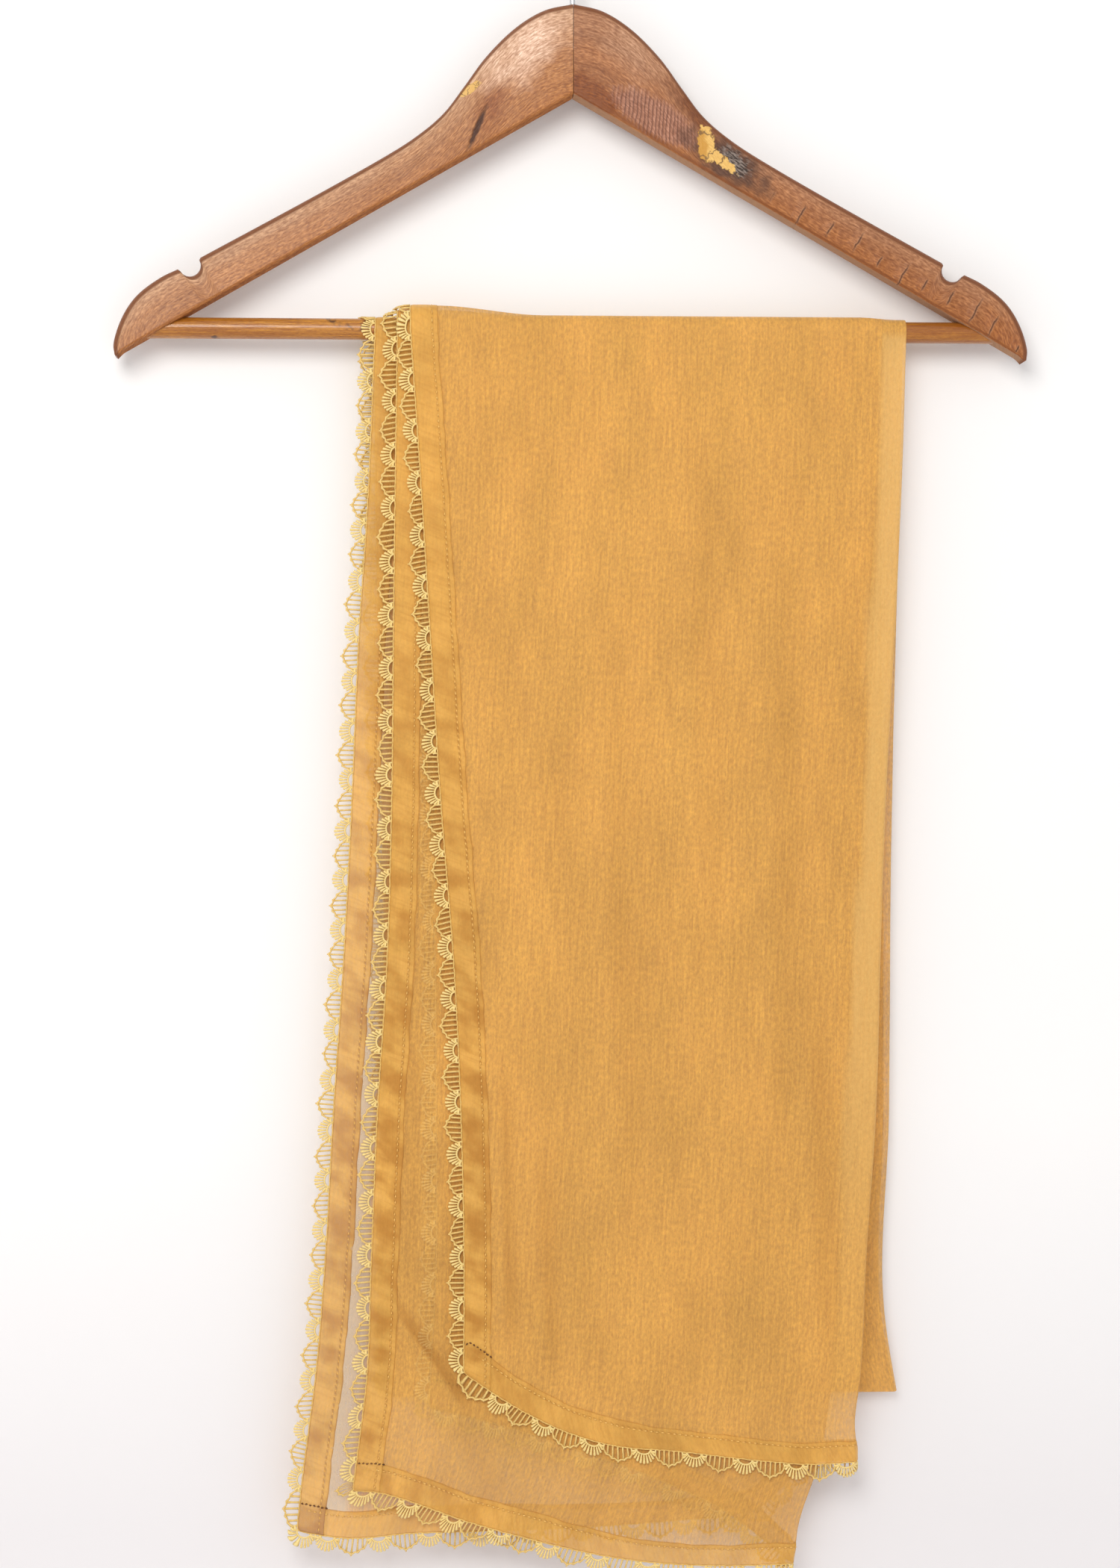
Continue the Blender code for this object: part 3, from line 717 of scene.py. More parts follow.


# Tints of the hem's marks, in the order in which they are laid on; shade and light are painted shade and
# painted light on its puckers
HEM_TINTS = {"shade": (0.66, 0.50, 0.34), "light": (1.12, 1.14, 1.25), "pleat": (0.72, 0.60, 0.48),
             "dash": (0.50, 0.36, 0.24), "corner": (0.58, 0.42, 0.24), "turned": (0.62, 0.50, 0.40)}
DASH_LENGTH = 2.8


def band_marks(tree, toned, colour):
    """The hem's marks on its colour, from the places inward from its edge and beside it in millimetres.

    Blotches of painted shade and painted light stand for its puckers, stronger lower down, and fine pleats
    slant across it. Dark dashes lie beside the stitches. The corner patch and the turned edge are darker.
    """
    inward, beside = attribute(tree, "inward"), attribute(tree, "beside")
    leaning = maths(tree, "ADD", beside, maths(tree, "MULTIPLY", inward, 0.4))
    spot = add_node(tree, "CombineXYZ", None, X=leaning, Y=maths(tree, "MULTIPLY", inward, 0.6)).outputs[0]
    line = add_node(tree, "CombineXYZ", None, X=leaning, Y=maths(tree, "MULTIPLY", inward, 0.1)).outputs[0]
    blotch = noise(tree, spot, 0.085)
    strong = remap(tree, beside, -60.0, -320.0, 0.25, 1.0)
    turn = maths(tree, "MULTIPLY", maths(tree, "ADD", beside, inward), TAU / DASH_LENGTH)
    off = maths(tree, "ABSOLUTE", maths(tree, "SUBTRACT", inward, STITCH_PLACE))
    dash = maths(tree, "MULTIPLY", remap(tree, off, 0.35, 0.85, 1.0, 0.0),
                 remap(tree, maths(tree, "SINE", turn), -0.3, 0.5, 0.15, 0.6))
    masks = {
        # Painted shade and painted light in blotches for the puckers
        "shade": maths(tree, "MULTIPLY", remap(tree, blotch, 0.46, 0.63, 0.0, 0.75), strong),
        "light": maths(tree, "MULTIPLY", remap(tree, blotch, 0.47, 0.36, 0.0, 0.6), strong),
        "pleat": remap(tree, noise(tree, line, 0.62), 0.48, 0.68, 0.0, 0.32),
        "dash": maths(tree, "MULTIPLY", dash, maths(tree, "ADD", maths(tree, "MULTIPLY", strong, 0.6), 0.4)),
        "corner": maths(tree, "MULTIPLY", attribute(tree, "corner"), 0.5),
        "turned": remap(tree, inward, HEM_WIDTH - 0.75, HEM_WIDTH - 0.35, 0.0, 0.5),
    }
    for name, share in HEM_TINTS.items():
        toned = blend_colours(tree, masks[name], toned, tint(colour, share))
    return toned


# Cloth: how its colour changes in its darkest and lightest streaks, with painted shade on the sheltered side
# of a crease, with painted light shining through where one end hangs alone and painted shade of the wall seen
# through where a leaf hangs bare, its cover there, and the share of shade that it lets through
# The dark streak tint is greyed with painted shade of what lies behind the open weave
STREAK_DARK = np.array((0.80, 0.80, 0.15))
STREAK_LIGHT = np.array((0.75, 0.70, 0.15))
PAINTED_CREASE_SHADE_TINT = (0.62, 0.52, 0.42)
PAINTED_SEE_THROUGH_LIGHT_TINT = (1.08, 1.22, 1.6)
PAINTED_WALL_SHADE_COLOUR = (0.74, 0.58, 0.36)
BARE_COVER = 0.72
SHADOW_LOSS = 0.62


def cloth_material(name, colour, cover, spread, streaks, rough, sheen, band=False):
    """Sheer cloth: its cover is the alpha of one skin, uneven by the crepe's streaks.

    It covers more where it is seen at a slant. Rays that test for shadow meet a thinner cover, because
    chiffon scatters much light onwards.
    """
    material, tree, shader = new_material(name)
    if tree is None:
        return material
    streak, grain, cloud = noises(tree, "crepe_texture", CREPE_NOISES, 1.0)
    mixed = maths(tree, "ADD", maths(tree, "MULTIPLY", streak, 0.4), maths(tree, "MULTIPLY", grain, 0.6))
    toned = blend_colours(tree, mixed, tint(colour, 1 - streaks * STREAK_DARK),
                          tint(colour, 1 + streaks * STREAK_LIGHT))
    clouded = maths(tree, "ADD", maths(tree, "MULTIPLY", cloud, 0.20), 0.90)
    clouds = add_node(tree, "CombineColor", None, Red=clouded, Green=clouded, Blue=clouded).outputs[0]
    toned = blend_colours(tree, 1.0, toned, clouds, "MULTIPLY")
    if band:
        toned = band_marks(tree, toned, colour)
    bare = attribute(tree, "bare")
    # Painted shade on the sheltered side of each crease
    toned = blend_tint(tree, attribute(tree, "painted_crease_shade"), 0.9, toned, tint(colour, PAINTED_CREASE_SHADE_TINT))
    # Painted light shining through where one end hangs alone
    toned = blend_colours(tree, attribute(tree, "thin"), toned, tint(colour, PAINTED_SEE_THROUGH_LIGHT_TINT))
    # Painted shade of the shadowed wall seen through where a leaf hangs bare
    toned = blend_tint(tree, bare, 0.7, toned, PAINTED_WALL_SHADE_COLOUR)
    alpha = remap(tree, mixed, 0.0, 1.0, cover - spread, cover + spread)
    alpha = maths(tree, "MULTIPLY", alpha, remap(tree, bare, 0.0, 1.0, 1.0, BARE_COVER))
    facing = add_node(tree, "LayerWeight", None, Blend=0.5).outputs["Facing"]
    slant = maths(tree, "MULTIPLY", maths(tree, "POWER", facing, 2.0), 0.85)
    straight = maths(tree, "SUBTRACT", 1.0, slant)
    open_share = maths(tree, "MULTIPLY", maths(tree, "SUBTRACT", 1.0, alpha), straight)
    shadow = add_node(tree, "LightPath").outputs["Is Shadow Ray"]
    kept = maths(tree, "SUBTRACT", 1.0, maths(tree, "MULTIPLY", shadow, SHADOW_LOSS))
    alpha = maths(tree, "MULTIPLY", maths(tree, "SUBTRACT", 1.0, open_share), kept)
    bump = add_node(tree, "Bump", None, Strength=0.35, Distance=0.0006, Height=mixed)
    set_shader(tree, shader, Base_Color=toned, Alpha=alpha, Roughness=rough, Normal=bump.outputs[0],
               Sheen_Weight=sheen, Sheen_Roughness=0.45, Sheen_Tint=(1.0, 0.88, 0.66, 1.0),
               Specular_IOR_Level=0.25)
    return material


def chiffon():
    """The sheer panel cloth."""
    return cloth_material("chiffon", stole_sizes().chiffon_colour, 0.60, 0.10, 0.26, 0.72, 0.12)


def hem_cloth():
    """The turned hems, three leaves of chiffon thick."""
    return cloth_material("hem_cloth", stole_sizes().hem_colour, 0.62, 0.05, 0.06, 0.6, 0.2, True)


def lace_thread():
    """Pale gold twisted thread, with painted shade that darkens the arches and the header more than the fans.
    """
    material, tree, shader = new_material("lace_thread")
    if tree is None:
        return material
    place = object_place(tree)
    twist, uneven = noise(tree, place, 1500.0), noise(tree, place, 160.0)
    colour = stole_sizes().lace_colour
    toned = blend_colours(tree, remap(tree, twist, 0.3, 0.7), tint(colour, (0.86, 0.80, 0.68)),
                          tint(colour, (1.03, 1.08, 1.2)))
    patchy = remap(tree, uneven, 0.35, 0.7, 0.0, 0.3)
    toned = blend_colours(tree, patchy, toned, tint(colour, (0.95, 0.85, 0.7)))
    # Painted shade darkens the arches and the header; the fans keep the full colour
    painted_shade_tone = blend_colours(tree, 1.0, toned, (0.88, 0.76, 0.56), "MULTIPLY")
    toned = blend_colours(tree, attribute(tree, "fan"), painted_shade_tone, toned)
    bump = add_node(tree, "Bump", None, Strength=0.4, Distance=0.0002, Height=twist)
    set_shader(tree, shader, Base_Color=toned, Roughness=0.42, Normal=bump.outputs[0], Sheen_Weight=0.15,
               Sheen_Roughness=0.3, Specular_IOR_Level=0.5)
    return material


def sewn_thread(name, colour, dark, light, rough):
    """Twisted sewing thread between a dark and a light tint of its colour."""
    material, tree, shader = new_material(name)
    if tree is None:
        return material
    twist = noise(tree, object_place(tree), 900.0)
    toned = blend_colours(tree, remap(tree, twist, 0.35, 0.65), tint(colour, dark), tint(colour, light))
    bump = add_node(tree, "Bump", None, Strength=0.4, Distance=0.0002, Height=twist)
    set_shader(tree, shader, Base_Color=toned, Roughness=rough, Normal=bump.outputs[0])
    return material


def corner_thread():
    """Brown sewing thread at the corners."""
    return sewn_thread("corner_thread", stole_sizes().stitch_colour, (0.6, 0.6, 0.6), (1.5, 1.5, 1.5), 0.6)


def sewing_thread():
    """Gold sewing thread of the hems' stitches."""
    return sewn_thread("sewing_thread", stole_sizes().hem_colour, (1.0, 1.0, 1.1), (1.18, 1.4, 2.0), 0.5)


def patch_group():
    """Mask of one patch on an arm: an ellipse turned in the XZ plane on the front, with a ragged edge.

    The distance from its middle is measured in half sizes, broken by noise, and cut off near 1.
    """
    if "worn_patch" in bpy.data.node_groups:
        return bpy.data.node_groups["worn_patch"]
    tree, given, out = new_group(
        "worn_patch", [("Place", "Vector"), ("Middle", "Vector"), ("Turn", "Vector"), ("Size", "Vector"),
                       ("Ragged", "Float", 0.5), ("Edge", "Float", 0.2), ("Noise Scale", "Float", 300.0)],
        [("Mask", "Float")])
    place = given.outputs["Place"]
    broken = noise(tree, place, given.outputs["Noise Scale"], 3.0)
    off = add_node(tree, "VectorMath", {"operation": "SUBTRACT"}, in_0=place, in_1=given.outputs["Middle"])
    turned = add_node(tree, "VectorRotate", {"rotation_type": "EULER_XYZ"}, Vector=off.outputs[0],
                      Rotation=given.outputs["Turn"])
    sized = add_node(tree, "VectorMath", {"operation": "DIVIDE"}, in_0=turned.outputs[0],
                     in_1=given.outputs["Size"])
    away = add_node(tree, "VectorMath", {"operation": "LENGTH"}, in_0=sized.outputs[0]).outputs["Value"]
    rough = maths(tree, "MULTIPLY", maths(tree, "SUBTRACT", broken, 0.5), given.outputs["Ragged"])
    reach = maths(tree, "ADD", away, maths(tree, "MULTIPLY", rough, 4.0))
    mask = maths(tree, "DIVIDE", maths(tree, "SUBTRACT", 1.0, reach), given.outputs["Edge"], clamp=True)
    tree.links.new(mask, out.inputs["Mask"])
    return tree


def patch(tree, place, middle, size, degrees, ragged, edge, noise_scale):
    """Output of one patch, from millimetres: its middle and half sizes along X and Z."""
    made = add_node(tree, "Group", {"node_tree": patch_group()}, Place=place,
                    Middle=(middle[0] * MM, -ARM_HALF_THICKNESS * MM, middle[1] * MM),
                    Turn=(0.0, math.radians(degrees), 0.0), Size=(size[0] * MM, 4 * MM, size[1] * MM),
                    Ragged=ragged, Edge=edge, Noise_Scale=noise_scale)
    return made.outputs["Mask"]


# How far noise shakes the places of the cracks, in metres
CRACK_SHAKE = (0.007, 0.007, 0.007)


def crack_lines(tree, place, scale):
    """Mask of uneven cracks: the edges of Voronoi cells whose places are shaken by noise."""
    shake = add_node(tree, "TexNoise", None, Vector=place, Scale=420.0, Detail=3.0).outputs["Color"]
    shaken = add_node(tree, "VectorMath", {"operation": "MULTIPLY_ADD"}, in_0=shake, in_1=CRACK_SHAKE,
                      in_2=place).outputs[0]
    cells = add_node(tree, "TexVoronoi", {"feature": "DISTANCE_TO_EDGE"}, Vector=shaken, Scale=scale)
    return remap(tree, cells.outputs[0], 0.015, 0.06, 1.0, 0.0)


# Patches on each arm's front: worn ones, and at the crown pale ones of worn wood with a painted highlight;
# middle and half sizes in millimetres, turn in degrees, how ragged and how soft the edge is, and the scale of
# its noise
ARM_PATCHES = {
    "right": {
        "pale": ((28.0, -84.0), (30.0, 13.0), -38.0, 0.3, 0.9, 90.0),
        "rib": ((40.0, -118.5), (27.0, 9.8), -32.0, 0.12, 0.3, 300.0),
        "amber": ((10.0, -107.5), (18.0, 8.5), -31.0, 0.3, 0.4, 200.0),
        "bend": ((60.5, -117.5), (27.0, 7.0), -50.0, 0.25, 0.7, 150.0),
        "burnt": ((74.5, -139.5), (29.0, 12.0), -33.0, 0.25, 0.5, 180.0),
        "ash": ((77.5, -139.5), (10.5, 5.8), -42.0, 0.4, 0.4, 420.0),
        "filler_high": ((64.3, -130.5), (4.4, 9.5), 8.0, 0.3, 0.12, 330.0),
        "filler_low": ((71.0, -138.4), (10.0, 2.9), -40.0, 0.4, 0.12, 420.0),
        "deep": ((60.6, -131.0), (4.6, 13.0), 12.0, 0.25, 0.3, 250.0),
        "brown": ((150.0, -190.0), (95.0, 8.0), -30.0, 0.25, 0.9, 120.0),
        "tip": ((212.0, -222.0), (24.0, 12.0), -50.0, 0.3, 0.8, 160.0),
    },
    "left": {
        "pale": ((-22.0, -84.0), (34.0, 17.0), 36.0, 0.3, 0.9, 90.0),
        "knot": ((-46.6, -124.6), (1.8, 14.0), -23.0, 0.22, 0.5, 300.0),
        "shade": ((-38.5, -114.0), (9.0, 17.0), -26.0, 0.3, 0.9, 160.0),
        "chip": ((-50.2, -105.4), (6.4, 2.3), 30.0, 0.22, 0.15, 330.0),
    },
}

# Where the varnish is thin along the upper edge, with a painted highlight there, and a painted glow of light
# along the lower one
HAZE_AND_HIGHLIGHT_TINT = (1.30, 1.75, 2.7)
PAINTED_GLOW_TINT = (1.2, 1.25, 0.9)

# Worn marks, painted highlight and painted light under the grain, in the order in which they are laid on: the
# mask, its share, the colour that it starts from and its tint
WEAR_AND_PAINTED_LIGHT = {
    "right": (("haze_and_highlight", 0.45, "wood", HAZE_AND_HIGHLIGHT_TINT), ("painted_glow", 0.65, "varnish", PAINTED_GLOW_TINT),
              ("pale", 0.6, "wood", HAZE_AND_HIGHLIGHT_TINT), ("amber", 0.9, "varnish", (0.68, 0.54, 0.32)),
              ("bend", 0.95, "varnish", (0.58, 0.50, 0.38)), ("rib", 0.8, "wood", (1.22, 1.42, 2.5)),
              ("brown", 0.5, "varnish", (1.0, 0.95, 0.8)), ("tip", 0.55, "varnish", (1.1, 1.05, 0.8)),
              ("burnt", 0.9, "plain", (0.105, 0.044, 0.023))),
    "left": (("haze_and_highlight", 0.8, "wood", HAZE_AND_HIGHLIGHT_TINT), ("painted_glow", 0.65, "varnish", PAINTED_GLOW_TINT),
             ("pale", 1.0, "plain", (0.90, 0.60, 0.42)), ("shade", 0.8, "varnish", (0.85, 0.75, 0.7))),
}

# The same over the grain, along the lower edge, with painted shade on the underside
LOW_WEAR_AND_PAINTED_SHADE = {
    "right": (("line", 0.75, "varnish", (0.62, 0.5, 0.35)), ("under", 0.75, "plain", (0.46, 0.28, 0.17))),
    "left": (("under", 0.2, "varnish", (0.55, 0.5, 0.5)),),
}
RIGHT_WOOD_TINT = np.array((0.84, 0.78, 0.80))
BAND_TINTS = ((0.80, 0.72, 0.62), (1.16, 1.18, 1.2))
GROOVE_TINT = (0.62, 0.50, 0.42)
RIDGE_TINT = (1.45, 1.6, 1.8)
RIM_TINT = (0.50, 0.42, 0.42)
FURROW_COLOUR = (0.12, 0.04, 0.02)
CUT_SHADE_COLOUR = (0.09, 0.03, 0.012)
CRACK_COLOUR = (0.16, 0.08, 0.03)
KNOT_COLOUR = (0.06, 0.018, 0.007)
ASH_COLOURS = ((0.035, 0.02, 0.014), (0.27, 0.21, 0.175))
FILLER_TINTS = ((0.95, 0.92, 0.9), (1.2, 1.3, 1.5))
DEEP_FILLER_TINT = (0.84, 0.72, 0.45)
CUTS_A_METRE = 72.0


def grained(tree, at, toned):
    """Darkens a colour along the fibres and in the pores, and lightens it between them."""
    for mask, share in ((maths(tree, "MULTIPLY", at["fibre"], 0.7), GROOVE_TINT),
                        (remap(tree, at["pore"], 0.5, 1.0, 0.0, 0.8), RIDGE_TINT),
                        (remap(tree, at["pore"], 0.5, 0.0, 0.0, 0.75), GROOVE_TINT)):
        toned = blend_colours(tree, mask, toned, blend_colours(tree, 1.0, toned, share, "MULTIPLY"))
    return toned


def planed_ribs(tree, at, mask, toned, relief):
    """Ribs across one patch, as a plane leaves them: a wave along the arm, dark in its furrows."""
    waved = add_node(tree, "TexWave", {"wave_type": "BANDS", "bands_direction": "X"}, Vector=at["flat"],
                     Scale=130.0, Distortion=3.6, Detail=2.0).outputs["Fac"]
    relief = maths(tree, "ADD", relief, maths(tree, "MULTIPLY", maths(tree, "MULTIPLY", waved, mask), 2.6))
    furrow = maths(tree, "MULTIPLY", remap(tree, waved, 0.3, 0.0), mask)
    return blend_tint(tree, furrow, 0.85, toned, FURROW_COLOUR), relief


def small_cuts(tree, at, pale, toned, relief):
    """A row of small cuts across the lower half of the arm, past its burnt patch.

    They are the edges of uneven cells along the arm, dark with painted shade. Beside each cut the wood stands
    out, lighter with a painted highlight.
    """
    split = add_node(tree, "SeparateXYZ", None, Vector=at["place"])
    along = maths(tree, "ADD", maths(tree, "MULTIPLY", split.outputs["X"], math.cos(ARM_ANGLE)),
                  maths(tree, "MULTIPLY", split.outputs["Z"], math.sin(ARM_ANGLE)))
    bent = maths(tree, "ADD", along, maths(tree, "MULTIPLY", at["band"], 0.0012))
    cell = add_node(tree, "TexVoronoi", {"voronoi_dimensions": "1D", "feature": "DISTANCE_TO_EDGE"}, W=bent,
                    Scale=CUTS_A_METRE, Randomness=0.8).outputs[0]
    depth = maths(tree, "ADD", at["down"], maths(tree, "MULTIPLY", noise(tree, at["place"], 70.0), 0.9))
    zone = maths(tree, "MULTIPLY", remap(tree, depth, 0.88, 1.02), remap(tree, depth, 1.38, 1.24))
    zone = maths(tree, "MULTIPLY", zone, remap(tree, split.outputs["X"], 0.092, 0.105))
    cut, raised, bright = (maths(tree, "MULTIPLY", remap(tree, cell, low, high, 1.0, 0.0), zone)
                           for low, high in ((0.012, 0.035), (0.035, 0.30), (0.035, 0.08)))
    relief = maths(tree, "ADD", relief, maths(tree, "MULTIPLY", raised, 2.0))
    relief = maths(tree, "SUBTRACT", relief, maths(tree, "MULTIPLY", cut, 3.0))
    # Painted highlight beside each cut and painted shade in it
    toned = blend_tint(tree, bright, 0.3, toned, pale)
    return blend_tint(tree, cut, 0.85, toned, CUT_SHADE_COLOUR), relief


def ash_and_filler(tree, at, masks, filler, toned, relief):
    """Speckled ash in the burnt patch, and cracked yellow filler that stands a little proud."""
    ash = blend_colours(tree, remap(tree, at["pore"], 0.3, 0.75), *ASH_COLOURS)
    toned = blend_colours(tree, masks["ash"], toned, ash)
    filled = maths(tree, "MAXIMUM", masks["filler_high"], masks["filler_low"])
    yellow = blend_colours(tree, at["pore"], *(tint(filler, share) for share in FILLER_TINTS))
    yellow = blend_colours(tree, masks["deep"], yellow, tint(filler, DEEP_FILLER_TINT))
    toned = blend_colours(tree, filled, toned, yellow)
    crack = maths(tree, "MULTIPLY", crack_lines(tree, at["place"], 95.0), filled)
    relief = maths(tree, "ADD", relief, maths(tree, "MULTIPLY", filled, 1.5))
    return blend_tint(tree, crack, 0.85, toned, CRACK_COLOUR), relief


def knot_and_chip(tree, at, masks, filler, toned, relief):
    """A sunken dark knot, and a cracked chip of yellow filler."""
    toned = blend_tint(tree, masks["knot"], 0.95, toned, KNOT_COLOUR)
    toned = blend_colours(tree, masks["chip"], toned, tuple(filler))
    crack = maths(tree, "MULTIPLY", crack_lines(tree, at["place"], 170.0), masks["chip"])
    relief = maths(tree, "SUBTRACT", relief, maths(tree, "MULTIPLY", masks["knot"], 1.5))
    return blend_tint(tree, crack, 0.9, toned, CRACK_COLOUR), relief


def arm_material(hand):
    """Worn varnished wood of one arm: its worn patches, painted highlight, painted light and painted shade,
    its grain, its marks, and a darker varnished rim.

    At holds the places on the arm and the masks of its grain, and masks holds those of its worn patches and
    its painted light and shade.
    """
    side = "right" if hand > 0 else "left"
    material, tree, shader = new_material("varnished_wood_" + side)
    if tree is None:
        return material
    colours = hanger_sizes()
    wood = np.array(colours.wood_colour) * (RIGHT_WOOD_TINT if hand > 0 else 1.0)
    starts = {"wood": wood, "varnish": colours.varnish_colour, "plain": (1.0, 1.0, 1.0)}
    at = {"flat": flat_place(tree), "place": object_place(tree), "down": attribute(tree, "down")}
    at["band"], at["fibre"], at["pore"] = noises(tree, "wood_grain", WOOD_NOISES, 1.0)
    masks = {name: patch(tree, at["place"], *row) for name, row in ARM_PATCHES[side].items()}
    level = maths(tree, "ADD", at["down"], maths(tree, "MULTIPLY", at["band"], 0.2))
    # Towards the upper edge, thin varnish with a painted highlight; towards the lower edge, painted light
    masks["haze_and_highlight"] = remap(tree, level, 0.1, 0.6, 1.0, 0.0)
    masks["painted_glow"] = remap(tree, level, 0.7, 1.1)
    # The underside: painted shade, more roughness and no coat
    masks["under"] = remap(tree, at["down"], 0.985, 1.0)
    masks["line"] = maths(tree, "MULTIPLY", remap(tree, at["down"], 0.90, 0.94),
                          remap(tree, at["down"], 0.985, 0.965))
    toned = blend_colours(tree, at["band"], *(tint(wood, share) for share in BAND_TINTS))
    for name, share, start, shift in WEAR_AND_PAINTED_LIGHT[side]:
        toned = blend_tint(tree, masks[name], share, toned, tint(starts[start], shift))
    toned = grained(tree, at, toned)
    for name, share, start, shift in LOW_WEAR_AND_PAINTED_SHADE[side]:
        toned = blend_tint(tree, masks[name], share, toned, tint(starts[start], shift))
    relief = maths(tree, "ADD", maths(tree, "MULTIPLY", at["fibre"], -0.5),
                   maths(tree, "MULTIPLY", at["pore"], 0.5))
    if hand > 0:
        toned, relief = planed_ribs(tree, at, masks["rib"], toned, relief)
        toned, relief = small_cuts(tree, at, tint(wood, HAZE_AND_HIGHLIGHT_TINT), toned, relief)
        toned, relief = ash_and_filler(tree, at, masks, colours.filler_colour, toned, relief)
    else:
        toned, relief = knot_and_chip(tree, at, masks, colours.filler_colour, toned, relief)
    toned = blend_tint(tree, attribute(tree, "rim"), 0.9, toned, tint(colours.varnish_colour, RIM_TINT))
    bump = add_node(tree, "Bump", None, Strength=0.5, Distance=0.0004, Height=relief)
    worn = maths(tree, "ADD", at["fibre"], maths(tree, "MULTIPLY", masks["haze_and_highlight"], 0.4))
    rough = maths(tree, "MAXIMUM", remap(tree, worn, 0.0, 1.4, 0.34, 0.55),
                  maths(tree, "MULTIPLY", masks["under"], 0.95))
    bare = maths(tree, "MAXIMUM", masks["under"], masks["ash" if hand > 0 else "knot"])
    coat = maths(tree, "MULTIPLY", maths(tree, "SUBTRACT", 1.0, bare), 0.18)
    set_shader(tree, shader, Base_Color=toned, Roughness=rough, Normal=bump.outputs[0], Coat_Weight=coat,
               Coat_Roughness=0.2, Specular_IOR_Level=0.3)
    return material


def bar_wood():
    """Streaky reddish brown varnished dowel with a few dark spots."""
    material, tree, shader = new_material("bar_wood")
    if tree is None:
        return material
    colour = hanger_sizes().bar_colour
    band, fibre, pore = noises(tree, "wood_grain", WOOD_NOISES, 1.2)
    spots = remap(tree, noise(tree, object_place(tree), 95.0, 3.0), 0.66, 0.72)
    toned = blend_colours(tree, band, tint(colour, (0.55, 0.50, 0.35)), tint(colour, (1.35, 1.75, 1.5)))
    toned = blend_tint(tree, fibre, 0.9, toned, tint(colour, (0.50, 0.42, 0.35)))
    toned = blend_tint(tree, spots, 0.9, toned, (0.05, 0.018, 0.006))
    toned = blend_tint(tree, pore, 0.4, toned, tint(colour, (0.30, 0.22, 0.2)))
    relief = maths(tree, "SUBTRACT", fibre, pore)
    bump = add_node(tree, "Bump", None, Strength=0.35, Distance=0.0003, Height=relief)
    set_shader(tree, shader, Base_Color=toned, Roughness=remap(tree, fibre, 0.0, 1.0, 0.26, 0.4),
               Normal=bump.outputs[0], Coat_Weight=0.6, Coat_Roughness=0.08, Specular_IOR_Level=0.3)
    return material


def hook_wire():
    """Polished chromed wire with faint drawing marks."""
    material, tree, shader = new_material("hook_wire")
    if tree is None:
        return material
    mapped = add_node(tree, "Mapping", None, Vector=object_place(tree), Scale=(1.0, 1.0, 0.08)).outputs[0]
    marks = noise(tree, mapped, 1500.0)
    toned = blend_colours(tree, marks, (0.62, 0.62, 0.64), (0.78, 0.78, 0.80))
    bump = add_node(tree, "Bump", None, Strength=0.15, Distance=0.0001, Height=marks)
    set_shader(tree, shader, Base_Color=toned, Metallic=1.0, Normal=bump.outputs[0],
               Roughness=remap(tree, marks, 0.3, 0.7, 0.12, 0.26))
    return material


def spline(points, count):
    """Catmull-Rom curve through the points, with count steps between each pair."""
    points = np.asarray(points, float)
    padded = np.vstack([2 * points[0] - points[1], points, 2 * points[-1] - points[-2]])
    windows = (padded[:-3], padded[1:-2], padded[2:-1], padded[3:])
    before, start, stop, after = (part[:, None, :] for part in windows)
    t = np.linspace(0, 1, count, endpoint=False)[None, :, None]
    curve = 0.5 * (2 * start + (stop - before) * t + (2 * before - 5 * start + 4 * stop - after) * t**2
                   + (3 * start - before - 3 * stop + after) * t**3)
    return np.vstack([curve.reshape(-1, points.shape[1]), points[-1]])


def arc_length(path):
    """Distance along a path at each of its points."""
    return np.concatenate([[0.0], np.cumsum(np.linalg.norm(np.diff(path, axis=0), axis=1))])


def resample(path, at):
    """Points of a path at the given distances along it."""
    length = arc_length(path)
    return np.stack([np.interp(at, length, path[:, k]) for k in range(path.shape[1])], axis=1)


def arm_relief(hand, x, z, down):
    """How deep the arm's faces lie under their plane: a little uneven from being planed by hand."""
    along = x * math.cos(ARM_ANGLE) + z * math.sin(ARM_ANGLE)
    uneven = 0.10 * wander(along / 9.0, 0.7 * hand) * np.sin(math.pi * down)
    scooped = 0.35 * smoothstep((along - 70) / 8) * smoothstep((down - 0.55) / 0.3) * (hand > 0)
    return uneven + scooped


# Points of an arm's outline on its crown, in its notch and on its end, and of each section on a face, round a
# corner and across an edge
CROWN_STEPS = 150
NOTCH_STEPS = 19
END_STEPS = 42
FACE_STEPS = 26
CORNER_STEPS = 4
RIM_WIDTH = 2.9
RIM_FADE = 0.9


